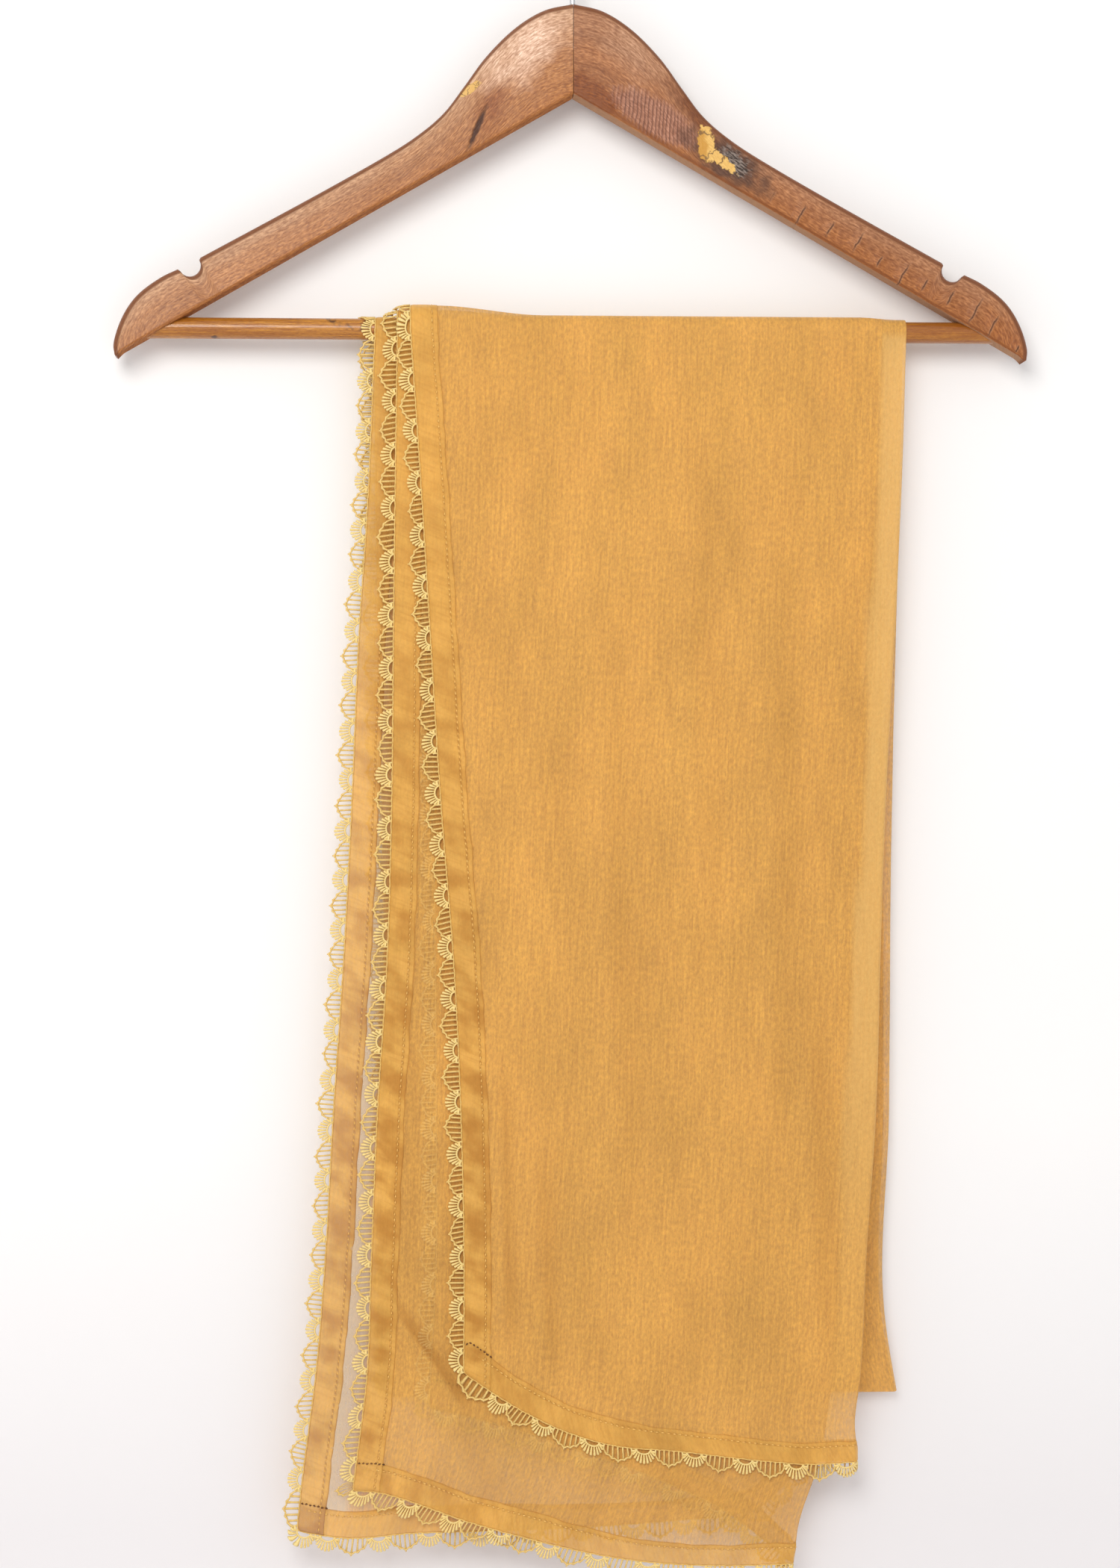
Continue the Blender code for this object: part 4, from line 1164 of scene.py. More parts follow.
def arm_grid(hand):
    """Points of one arm: closed sections from its mitre to its tip.

    Each section runs from the upper outline to the lower one, a straight line across the arm with
    rounded corners, so the whole arm is a ruled block with its notch in the upper outline. Returns also
    the flat places along the arm and round it, the share of the way down, and the share of the rim.
    """
    notch_turn = math.pi - NOTCH_LEAN + np.linspace(0, math.pi, NOTCH_STEPS)
    notch = np.stack([NOTCH_CENTRE[0] + NOTCH_RADIUS * np.cos(notch_turn),
                      NOTCH_CENTRE[1] + NOTCH_RADIUS * np.sin(notch_turn)], axis=1)
    crown, tail = spline(CROWN_POINTS, 12), spline(END_POINTS, 8)
    crown_length, tail_length = arc_length(crown)[-1], arc_length(tail)[-1]
    gap = np.linalg.norm(notch[-1] - notch[0])
    on_crown, on_tail = np.linspace(0, crown_length, CROWN_STEPS), np.linspace(0, tail_length, END_STEPS)
    in_notch = crown_length + gap * np.linspace(0.02, 0.98, NOTCH_STEPS)
    upper = np.vstack([resample(crown, on_crown), notch, resample(tail, on_tail)])
    share = np.concatenate([on_crown, in_notch, crown_length + gap + on_tail])
    share = share / (crown_length + gap + tail_length)
    apex = (0.15, ARM_APEX_HEIGHT + ARM_UNDERSIDE_SLOPE * 0.15)
    lower_path = np.array([apex, ARM_FOOT, (219.6, -235.2)])
    lower = resample(lower_path, share * arc_length(lower_path)[-1])
    width = np.linalg.norm(lower - upper, axis=1)[:, None]
    sizes = hanger_sizes()
    half = ARM_HALF_THICKNESS
    top = np.minimum(sizes.top_rounding / MM, 0.42 * width)
    low = np.minimum(sizes.lower_rounding / MM, 0.42 * width)
    face = np.linspace(0, 1, FACE_STEPS)
    level = np.zeros(CORNER_STEPS)
    edge = np.linspace(-1, 1, CORNER_STEPS)
    turn = np.linspace(0, math.pi / 2, CORNER_STEPS + 2)[1:-1]
    front = top + (width - top - low) * face
    sections = [
        (front, -half + 0 * front),
        (width - low + low * np.sin(turn), -half + low - low * np.cos(turn)),
        (width + level, (half - low) * edge),
        (width - low + low * np.cos(turn), half - low + low * np.sin(turn)),
        (front[:, ::-1], half + 0 * front),
        (top - top * np.sin(turn), half - top + top * np.cos(turn)),
        (0 * width + level, (half - top) * -edge),
        (top - top * np.cos(turn), -half + top - top * np.sin(turn)),
    ]
    down = np.concatenate([part[0] for part in sections], axis=1)
    y = np.concatenate([part[1] + 0 * part[0] for part in sections], axis=1)
    across = (lower - upper) / width
    x = upper[:, :1] + down * across[:, :1]
    z = upper[:, 1:] + down * across[:, 1:]
    fraction = down / width
    sunk = arm_relief(hand, x, z, fraction)
    on_face = np.zeros(down.shape[1])
    on_face[1:FACE_STEPS - 1] = 1.0
    y = y + on_face * np.maximum(sunk, -0.2)
    rim = smoothstep((RIM_WIDTH - down) / RIM_FADE) + 0 * y
    ahead = arc_length(upper)[:, None] + 0 * y
    loop = np.arange(down.shape[1])
    back = FACE_STEPS + 3 * CORNER_STEPS
    around = np.where(loop < FACE_STEPS, down, width + 20 + loop * 0.7)
    around = np.where((loop >= back) & (loop < back + FACE_STEPS), 80 + down, around)
    return np.stack([hand * x, y, z], axis=-1), ahead, around, fraction, rim


def add_arm(name, hand):
    """One arm of the hanger as a closed block, with caps on its mitre and its tip."""
    grid, ahead, around, down, rim = arm_grid(hand)
    rows, columns = grid.shape[:2]
    quads = grid_faces(rows, columns, closed=True)
    caps = end_caps(rows, columns)
    if hand > 0:
        quads, caps = quads[:, ::-1], caps[:, ::-1]
    flat = np.stack([ahead.ravel(), around.ravel() + 200 * (hand > 0)], axis=1)
    piece = make_piece(name, grid.reshape(-1, 3), [quads, caps], arm_material(hand), flat,
                       {"down": down.ravel(), "rim": rim.ravel()})
    piece.data.set_sharp_from_angle(angle=math.radians(38))
    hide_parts("hanger_arm_" + ("right" if hand > 0 else "left"))
    return piece


def hook_path():
    """Middle of the wire: straight shank, small round to the right, large round over the seat."""
    bend = HOOK_INNER_RADIUS + HOOK_WIRE_RADIUS
    neck = HOOK_NECK_RADIUS
    bend_height = -HOOK_INNER_RADIUS
    neck_height = bend_height - math.sqrt((bend + neck) ** 2 - neck**2)
    meet = math.atan2(neck_height - bend_height, neck)
    shank = np.stack([np.zeros(12), np.linspace(HOOK_SHANK_FOOT, neck_height, 12, endpoint=False)], axis=1)
    turn = np.linspace(math.pi, math.pi + meet, 14, endpoint=False)
    small = np.stack([neck + neck * np.cos(turn), neck_height + neck * np.sin(turn)], axis=1)
    sweep = np.linspace(meet, HOOK_TIP_ANGLE, 64)
    large = np.stack([bend * np.cos(sweep), bend_height + bend * np.sin(sweep)], axis=1)
    return np.vstack([shank, small, large])


def rod(path, radius, sides):
    """Round rod along a path in the XZ plane, a tube with one radius or one for each point."""
    middle = np.stack([path[:, 0], 0 * path[:, 0], path[:, 1]], axis=1)
    along = np.gradient(middle, axis=0)
    along /= np.linalg.norm(along, axis=1)[:, None]
    up = np.tile([0.0, 1.0, 0.0], (len(path), 1))
    return tube(middle, np.cross(along, up), up, radius, sides)


def hem_section():
    """Closed outline of a hem's section: places in from the edge and lifts.

    The turned edge is round, the band is even, the stitch line is pressed in, and the inner edge ends
    in a small step.
    """
    inward = np.array([0.0, 0.5, 1.6, 3.4, 5.6, 7.6, 9.3, STITCH_PLACE, 11.0, 12.2, 12.8, HEM_WIDTH])
    thick = np.array([0.0, 0.62, 0.95, 1.0, 1.05, 1.0, 0.85, 0.45, 0.78, 0.75, 0.65, 0.0])
    half = stole_sizes().hem_thickness / MM / 2 * thick
    back = slice(-2, 0, -1)
    return np.concatenate([inward, inward[back]]), np.concatenate([half, -half[back]])


def puff(along, seed):
    """How full a hem is along it, round about 1."""
    return 1 + 0.32 * wander(TAU * along / 16.0, seed)


def long_hem(end, part):
    """Points, flat places and faces of the long hem of one leaf, from its corner to the mid-length fold."""
    inward, half = hem_section()
    sign = 1 if part == "outer" else -1
    seed = LEAF_SEED[end + "_" + part]

    def place_of(along):
        return edge_across(end, part, along) + sign * inward

    floor = floor_along(end, place_of, 0.0)
    along = rows_from(floor, (2.6, 12, 5.0))
    uneven = 0.4 * wander(TAU * along / 42.0, seed + 1.0) + 0.15 * wander(TAU * along / 11.0, seed)
    across = edge_across(end, part, along) + sign * (inward + uneven * (inward / HEM_WIDTH) ** 3)
    lift = half * puff(along, seed) + ruffle(end, across, along)
    points = on_cloth(end, across, along, lift)
    rows, columns = across.shape
    quads = grid_faces(rows, columns, closed=True)
    caps = end_caps(rows, columns)
    if part == "outer":
        quads, caps = quads[:, ::-1], caps[:, ::-1]
    flat = np.stack([across, along], axis=-1).reshape(-1, 2)
    corner = smoothstep((np.min(along) + HEM_WIDTH + 1.5 - along) / 1.5) * ((end, part) == ("a", "inner"))
    return points.reshape(-1, 3), quads, caps, flat, np.tile(inward, rows), along.ravel(), corner.ravel()


def short_hem(end):
    """Points, flat places and faces of the short hem of one end, round its fold."""
    inward, half = hem_section()
    outer = np.linspace(-2, -1, 84, endpoint=False)
    station = np.concatenate([outer, np.linspace(-1, 1, 14), -outer[::-1]])[:, None]

    def place_of(along):
        return across_at(end, station + 0 * inward, along, HEM_WIDTH - 0.4)

    turn = TAU * station * 60.0
    uneven = 0.35 * wander(turn / 19.0, 3.3) + 0.25 * wander(turn / 8.0, 1.7) * (station < 0)
    narrow = short_width(end, station) / HEM_WIDTH
    along = floor_along(end, place_of, narrow * inward + uneven * (inward / HEM_WIDTH) ** 3)
    across = place_of(along)
    lift = half * puff(across, LEAF_SEED[end + "_outer"] + 7) + ruffle(end, across, along)
    points = on_cloth(end, across, along, lift)
    rows, columns = across.shape
    quads = grid_faces(rows, columns, closed=True)
    caps = end_caps(rows, columns)
    flat = np.stack([across, along], axis=-1).reshape(-1, 2)
    corner = smoothstep((across - edge_across(end, "inner", along) + HEM_WIDTH) / 1.0) * (end == "a")
    return points.reshape(-1, 3), quads, caps, flat, np.tile(inward, rows), across.ravel(), corner.ravel()


# Columns of the long edges, of a leaf's short edge and of the fold's short edge
LONG_STEPS = 1200
SHORT_STEPS = 160
FOLD_STEPS = 30


def edge_run(end, step=0.5):
    """The sewn edge of one end on the flat cloth, with its outward direction.

    It runs down the outer leaf's long edge, along the short edge round the fold, and up the inner
    leaf's long edge. A running mean rounds the corners. Returns the distances, the points, the outward
    directions and the distances of both corners.
    """
    top = FLOOR_ALONG + TURN_FLAT
    corner = {}
    for part in ("outer", "inner"):
        corner[part] = float(floor_along(end, lambda along, part=part: edge_across(end, part, along), 0.0))
    outer = np.linspace(top, corner["outer"], LONG_STEPS)
    inner = np.linspace(corner["inner"], top, LONG_STEPS)
    station = np.concatenate([np.linspace(-2, -1, SHORT_STEPS), np.linspace(-1, 1, FOLD_STEPS)[1:-1],
                              np.linspace(1, 2, SHORT_STEPS)])
    short = floor_along(end, lambda along: across_at(end, station, along), 0.0)
    path = np.concatenate([
        np.stack([edge_across(end, "outer", outer), outer], axis=1)[:-1],
        np.stack([across_at(end, station, short), short], axis=1),
        np.stack([edge_across(end, "inner", inner), inner], axis=1)[1:],
    ])
    length = arc_length(path)
    corners = (length[LONG_STEPS - 1], length[LONG_STEPS + len(station) - 2])
    even = np.arange(0, length[-1], step)
    path = resample(path, even)
    window = 2 * int(2.5 / step) + 1
    padded = np.pad(path, ((window // 2, window // 2), (0, 0)), mode="edge")
    kernel = np.ones(window) / window
    path = np.stack([np.convolve(padded[:, k], kernel, mode="valid") for k in range(2)], axis=1)
    ahead = np.gradient(path, axis=0)
    ahead /= np.linalg.norm(ahead, axis=1)[:, None]
    outward = np.stack([ahead[:, 1], -ahead[:, 0]], axis=1)
    return even, path, outward, corners


def thread(points, radius, sides=4):
    """A thread in the plane of the lace: a tube along points (beside, outwards)."""
    path = np.asarray(points, float)
    along = np.gradient(path, axis=0)
    along /= np.linalg.norm(along, axis=1)[:, None]
    across = np.stack([-along[:, 1], along[:, 0], 0 * along[:, 0]], axis=1)
    up = np.tile([0.0, 0.0, 1.0], (len(path), 1))
    return tube(np.column_stack([path, np.zeros(len(path))]), across, up, radius, sides)


# The fan's slit, its edge and the slit's rim, each half an ellipse: half width, height of its middle and rise
FAN_SLIT = (3.5, 0.8, 2.2)
FAN_EDGE = (5.5, 1.9, 5.7)
FAN_RIM = (3.4, 0.4, 2.4)
FAN_SPOKES = 11

# The arch's outline, how thick its thread is at each point, and its bars: place, height and lean
ARCH_OUTLINE = ((-7.1, 1.9), (-6.7, 3.5), (-5.6, 5.2), (-4.2, 5.4), (-2.9, 6.8), (-1.5, 6.7), (-0.6, 7.4),
                (0.0, 7.7), (0.6, 7.4), (1.5, 6.7), (2.9, 6.8), (4.2, 5.4), (5.6, 5.2), (6.7, 3.5),
                (7.1, 1.9))
ARCH_THICKNESS = (0.9, 0.85, 1.25, 0.85, 1.3, 0.85, 1.0, 1.2, 1.0, 0.85, 1.3, 0.85, 1.25, 0.85, 0.9)
ARCH_BARS = ((-5.0, 4.7, 0.2), (-2.55, 6.4, 0.1), (0.0, 7.2, 0.0), (2.55, 6.4, -0.1), (5.0, 4.7, -0.2))


def fan_motif(radius):
    """One fan: satin stitches that spread from a half-moon slit, its rim, and the posts beside it.

    A stitch runs from the slit's ellipse to the edge's ellipse at the same angle.
    """
    parts = []
    shares = np.array([0.0, 0.45, 0.88, 1.0])[:, None]
    for turn in np.radians(np.linspace(-4, 184, FAN_SPOKES)):
        inner = np.array([FAN_SLIT[0] * math.cos(turn), FAN_SLIT[1] + FAN_SLIT[2] * max(math.sin(turn), 0.1)])
        outer = np.array([FAN_EDGE[0] * math.cos(turn), FAN_EDGE[1] + FAN_EDGE[2] * math.sin(turn)])
        parts.append(thread(inner + shares * (outer - inner), np.array([0.7, 1.0, 1.36, 1.0]) * radius))
    rim = np.linspace(math.pi, 0, 9)
    arc = np.stack([FAN_RIM[0] * np.cos(rim), FAN_RIM[1] + FAN_RIM[2] * np.sin(rim)], axis=1)
    parts.append(thread(arc, radius * 0.95))
    for side in (-1, 1):
        parts.append(thread([(side * 3.4, 0.3), (side * 4.0, 1.3), (side * 5.1, 2.0)], radius * 0.9))
        parts.append(thread([(side * 5.9, 0.3), (side * 5.7, 1.4), (side * 5.6, 2.5)], radius * 0.9))
    return join(parts)


def arch_motif(radius):
    """One open arch: a rounded outline with a bump at each bar, the bars under it, and a small knob."""
    parts = [thread(ARCH_OUTLINE, radius * np.array(ARCH_THICKNESS))]
    for place, tall, lean in ARCH_BARS:
        parts.append(thread([(place + lean, 0.3), (place + lean * 0.4, tall * 0.5), (place, tall)],
                            np.array([1.05, 0.9, 1.1]) * radius))
    parts.append(thread([(0.0, 7.3), (0.05, 8.0), (0.0, 8.6)], np.array([0.7, 0.75, 0.9]) * radius))
    return join(parts)


# The repeat on the inner leaf's front edge, and the fans whose places the photograph gives: on the long
# edges by height below the bar's middle, and round the corners by distance from them
INNER_REPEAT = {"a": 24.3, "b": 25.2}
HIGH_FANS = {"a": (-25.5, -25.3), "b": (-35.5, -35.5)}
CORNER_FANS = {"a": ((-6.0, 23.5), (-15.0, -3.3, 24.6)), "b": ((-10.6, 5.5), (-9.0, 9.0))}

# Half the room of a fan, the width of an arch, the least room in which one is set, how far the first fan
# stands from the half repeat, the header's beads, and how far fans, arches and header are spared the painted
# shade
FAN_HALF_WIDTH = 5.7
ARCH_WIDTH = 13.8
ARCH_LEAST_ROOM = 15.0
FIRST_FAN = 6.7
BEAD_LENGTH = 1.3
LACE_SHINE = (1.0, 0.35, 0.0)


def lace_places(end, distance, path, corners):
    """Distances of the fans along an end's run, evenly set between those that are given."""
    repeat = stole_sizes().lace_repeat / MM
    halfway = len(path) // 2
    high_outer = np.interp(-HIGH_FANS[end][0], -path[:halfway, 1], distance[:halfway])
    high_inner = np.interp(HIGH_FANS[end][1], path[halfway:, 1], distance[halfway:])
    first, last = CORNER_FANS[end]
    ends = (repeat / 2 + FIRST_FAN, distance[-1] - repeat / 2 - FIRST_FAN)
    given = [ends[0], high_outer, *(corners[0] + np.array(first)), *(corners[1] + np.array(last)), high_inner,
             ends[1]]
    fans = [np.array(given[:1])]
    for start, stop in zip(given[:-1], given[1:]):
        spacing = INNER_REPEAT[end] if stop == high_inner else repeat
        count = max(1, int(round((stop - start) / spacing)))
        fans.append(np.linspace(start, stop, count + 1)[1:])
    return np.concatenate(fans)


def repeat_motif(motif, places, scales, rng):
    """Copies of one motif at places along the run: its points as (distance, outwards, lift) and faces.

    Each copy is stretched to its place, and leans, grows and lifts a little by chance.
    """
    points, quads, caps = motif
    count, size = len(places), len(points)
    grow = 1 + 0.05 * rng.standard_normal(count)[:, None]
    lean = 0.06 * rng.standard_normal(count)[:, None]
    lift = 0.12 * rng.standard_normal(count)[:, None]
    beside = places[:, None] + scales[:, None] * points[None, :, 0] + lean * points[None, :, 1]
    outward = np.where(points[None, :, 1] > 1, 1 + (points[None, :, 1] - 1) * grow, points[None, :, 1])
    up = points[None, :, 2] + np.clip(lift, -0.25, 0.25) * points[None, :, 1] / 8
    starts = (np.arange(count) * size)[:, None, None]
    placed = np.stack([beside, outward, up], axis=-1).reshape(-1, 3)
    return placed, (quads[None] + starts).reshape(-1, quads.shape[1]), (caps[None] + starts).reshape(-1, 4)


def lace_mesh(end):
    """Points, faces, flat places and share of fan of an end's whole lace, warped onto its cloth."""
    radius = stole_sizes().thread_radius / MM
    distance, path, outward, corners = edge_run(end)
    length = distance[-1]
    fans = lace_places(end, distance, path, corners)
    rng = np.random.default_rng(11 if end == "a" else 23)
    stops = np.concatenate([[-FAN_HALF_WIDTH], fans, [length + FAN_HALF_WIDTH]])
    room = np.diff(stops)
    middles = (stops[1:] + stops[:-1]) / 2
    wide = room > ARCH_LEAST_ROOM
    stretch = (room[wide] - 2 * FAN_HALF_WIDTH) / ARCH_WIDTH
    parts = [repeat_motif(fan_motif(radius), fans, np.full(len(fans), 1.0), rng),
             repeat_motif(arch_motif(radius), middles[wide], stretch, rng)]
    header = np.arange(0.0, length, BEAD_LENGTH)
    beads = radius * np.where(np.arange(len(header)) % 2, 0.85, 0.6)
    parts.append(thread(np.stack([header, 0.2 + 0.1 * np.sin(header)], axis=1), beads))
    points, quads, caps = join(parts)
    fan = np.concatenate([np.full(len(part[0]), shine) for part, shine in zip(parts, LACE_SHINE)])
    place = np.stack([np.interp(points[:, 0], distance, path[:, k]) for k in range(2)], axis=1)
    away = np.stack([np.interp(points[:, 0], distance, outward[:, k]) for k in range(2)], axis=1)
    away /= np.linalg.norm(away, axis=1)[:, None]
    flat = place + points[:, 1:2] * away
    lift = points[:, 2] + ruffle(end, place[:, 0], place[:, 1])
    return on_cloth(end, flat[:, 0], flat[:, 1], lift), quads, caps, flat, fan


def stitch_line(end, across, along, lift, radius, length, gap):
    """Stitches along a flat path: short lumps of eight triangles, thickest in their middle.

    Across, along and lift are arrays along the path. A stitch has a ring of four points about its middle
    and a tip at each end.
    """
    path = np.stack([across, along, lift], axis=1)
    distance = arc_length(path[:, :2])
    starts = np.arange(gap, distance[-1] - length - gap, length + gap)
    tips = [np.stack([np.interp(starts + off, distance, path[:, k]) for k in range(3)], axis=1)
            for off in (0.0, length / 2, length)]
    run = tips[2][:, :2] - tips[0][:, :2]
    run /= np.linalg.norm(run, axis=1)[:, None]
    side = np.stack([-run[:, 1], run[:, 0]], axis=1)
    ring = [(1.0, 0.0), (0.0, 1.0), (-1.0, 0.0), (0.0, -1.0)]
    corners = [tips[0]]
    for across_share, up_share in ring:
        moved = tips[1].copy()
        moved[:, :2] += radius * across_share * side
        moved[:, 2] += radius * up_share
        corners.append(moved)
    corners.append(tips[2])
    points = np.stack(corners, axis=1)
    count = len(starts)
    pairs = [(1 + k, 1 + (k + 1) % 4) for k in range(4)]
    pattern = [(0, first, second) for first, second in pairs]
    pattern += [(5, second, first) for first, second in pairs]
    faces = (np.array(pattern)[None] + 6 * np.arange(count)[:, None, None]).reshape(-1, 3)
    flat = points.reshape(-1, 3)
    return on_cloth(end, flat[:, 0], flat[:, 1], flat[:, 2]), faces


def join_stitches(lines):
    """Joins stitch lines into one set of points and triangles."""
    points = np.concatenate([line[0] for line in lines])
    starts = np.cumsum([0] + [len(line[0]) for line in lines[:-1]])
    return points, np.concatenate([line[1] + start for line, start in zip(lines, starts)])


# The camera of the photograph: its distance, its turn, what it looks at and the height that it sees there
CAMERA_DISTANCE = 1.75
CAMERA_AZIMUTH = math.radians(-3.0)
CAMERA_TARGET = (-0.006154, 0.0, -0.440652)
PICTURE_HEIGHT = 0.7602
SENSOR_HEIGHT = 36.0

# The large soft light
KEY_PLACE = (-0.50, -1.95, 0.42)
KEY_TURN = (math.radians(72.0), 0.0, math.radians(-14.4))
KEY_SIZE = 1.1
KEY_COLOUR = (1.0, 0.985, 0.96)

# The wall and the floor: half their size, colours, and how painted shade darkens the wall from one height to
# a lower one
STAGE_REACH = 4.0
WALL_COLOUR = (0.965, 0.96, 0.955)
FLOOR_COLOUR = (0.88, 0.875, 0.87)
WALL_FOOT = (-0.60, -0.80)
WALL_FOOT_SHADE_TINT = (0.893, 0.875, 0.889)


class STOLE_OT_stage(bpy.types.Operator):
    """Sets up the wall, the floor, the lights and the camera"""
    bl_idname = "stole.stage"
    bl_label = "Stage"

    def execute(self, context):
        settings = context.scene.stage_settings
        wall, floor, reach = settings.wall_distance, settings.floor_height, STAGE_REACH
        self.add_board(context, "wall", WALL_COLOUR, ((-reach, wall, -reach), (reach, wall, -reach),
                                                      (reach, wall, reach), (-reach, wall, reach)))
        self.add_board(context, "floor", FLOOR_COLOUR, ((-reach, -reach, floor), (reach, -reach, floor),
                                                        (reach, reach, floor), (-reach, reach, floor)))
        self.add_lights(context, settings)
        self.add_camera(context)
        return {"FINISHED"}

    def add_board(self, context, name, colour, corners):
        """A pale board with a faint mottle, darker low down with painted shade, that is seen from its front
        only.
        """
        mesh = bpy.data.meshes.new(name)
        mesh.from_pydata(corners, [], [(0, 1, 2, 3)])
        material, tree, shader = new_material("pale_" + name)
        place = object_place(tree)
        toned = blend_colours(tree, noise(tree, place, 9.0, 4.0), tint(colour, 0.985), colour)
        height = add_node(tree, "SeparateXYZ", None, Vector=place).outputs["Z"]
        # Painted shade darkens the board low down
        toned = blend_colours(tree, remap(tree, height, *WALL_FOOT), toned,
                              blend_colours(tree, 1.0, toned, WALL_FOOT_SHADE_TINT, "MULTIPLY"))
        behind = add_node(tree, "NewGeometry").outputs["Backfacing"]
        set_shader(tree, shader, Base_Color=toned, Alpha=maths(tree, "SUBTRACT", 1.0, behind), Roughness=0.95,
                   Specular_IOR_Level=0.1)
        mesh.materials.append(material)
        board = bpy.data.objects.new(name, mesh)
        context.collection.objects.link(board)

    def add_lights(self, context, settings):
        """A large soft light at the upper left near the camera, and an even white world."""
        light = bpy.data.lights.new("key_light", "AREA")
        light.shape = "DISK"
        light.size = KEY_SIZE
        light.energy = settings.key_power
        light.color = KEY_COLOUR
        lamp = bpy.data.objects.new("key_light", light)
        lamp.location = KEY_PLACE
        lamp.rotation_euler = KEY_TURN
        context.collection.objects.link(lamp)
        world = bpy.data.worlds.new("studio")
        world.use_nodes = True
        sky = world.node_tree.nodes["Background"]
        sky.inputs["Color"].default_value = (1.0, 1.0, 1.0, 1.0)
        sky.inputs["Strength"].default_value = settings.fill_strength
        context.scene.world = world
        context.scene.view_settings.view_transform = "Standard"
        context.scene.cycles.transparent_max_bounces = 36

    def add_camera(self, context):
        """The camera of the photograph, level and turned a little about the upright axis."""
        data = bpy.data.cameras.new("camera")
        data.sensor_fit = "VERTICAL"
        data.sensor_height = SENSOR_HEIGHT
        data.lens = SENSOR_HEIGHT * CAMERA_DISTANCE / PICTURE_HEIGHT
        data.clip_end = 50.0
        camera = bpy.data.objects.new("camera", data)
        beside, ahead = math.sin(CAMERA_AZIMUTH), math.cos(CAMERA_AZIMUTH)
        camera.location = (CAMERA_TARGET[0] + CAMERA_DISTANCE * beside, -CAMERA_DISTANCE * ahead,
                           CAMERA_TARGET[2])
        camera.rotation_euler = (math.pi / 2, 0.0, CAMERA_AZIMUTH)
        context.collection.objects.link(camera)
        context.scene.camera = camera


class STOLE_OT_hanger(bpy.types.Operator):
    """Builds the hanger's arms, its bar and its hook"""
    bl_idname = "stole.hanger"
    bl_label = "Hanger"

    def execute(self, context):
        add_arm("arm_left", -1)
        add_arm("arm_right", 1)
        half = BAR_HALF_LENGTH
        path = np.stack([np.linspace(-half, half, 90), np.full(90, BAR_HEIGHT)], axis=1)
        radius = BAR_RADIUS * (1 + 0.004 * wander(path[:, 0] / 14, 0.3))
        points, quads, caps = rod(path, radius, 40)
        around = np.tile(np.linspace(0, TAU * BAR_RADIUS, 40, endpoint=False), 90)
        flat = np.stack([points[:, 0], around], axis=1)
        bar = make_piece("dowel_bar", points, [quads, caps], bar_wood(), flat)
        bar.data.set_sharp_from_angle(angle=math.radians(50))
        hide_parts("trouser_bar")
        path = hook_path()
        radius = np.full(len(path), HOOK_WIRE_RADIUS)
        radius[-3:] *= (0.96, 0.82, 0.45)
        points, quads, caps = rod(path, radius, 20)
        hook = make_piece("wire_hook", points, [quads, caps], hook_wire())
        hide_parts("hanger_hook")
        return {"FINISHED"}


def edge_nodes(kind, end):
    """Names of the frame's nodes of an end's hems or lace; end A has the mid-length fold's too."""
    nodes = [kind + "_" + end + "_short"]
    for part in ("outer", "inner"):
        nodes += [kind + "_" + end + "_" + part + "_" + stretch for stretch in STRETCHES]
    return nodes + ([kind + "_fold_outer", kind + "_fold_inner"] if end == "a" else [])


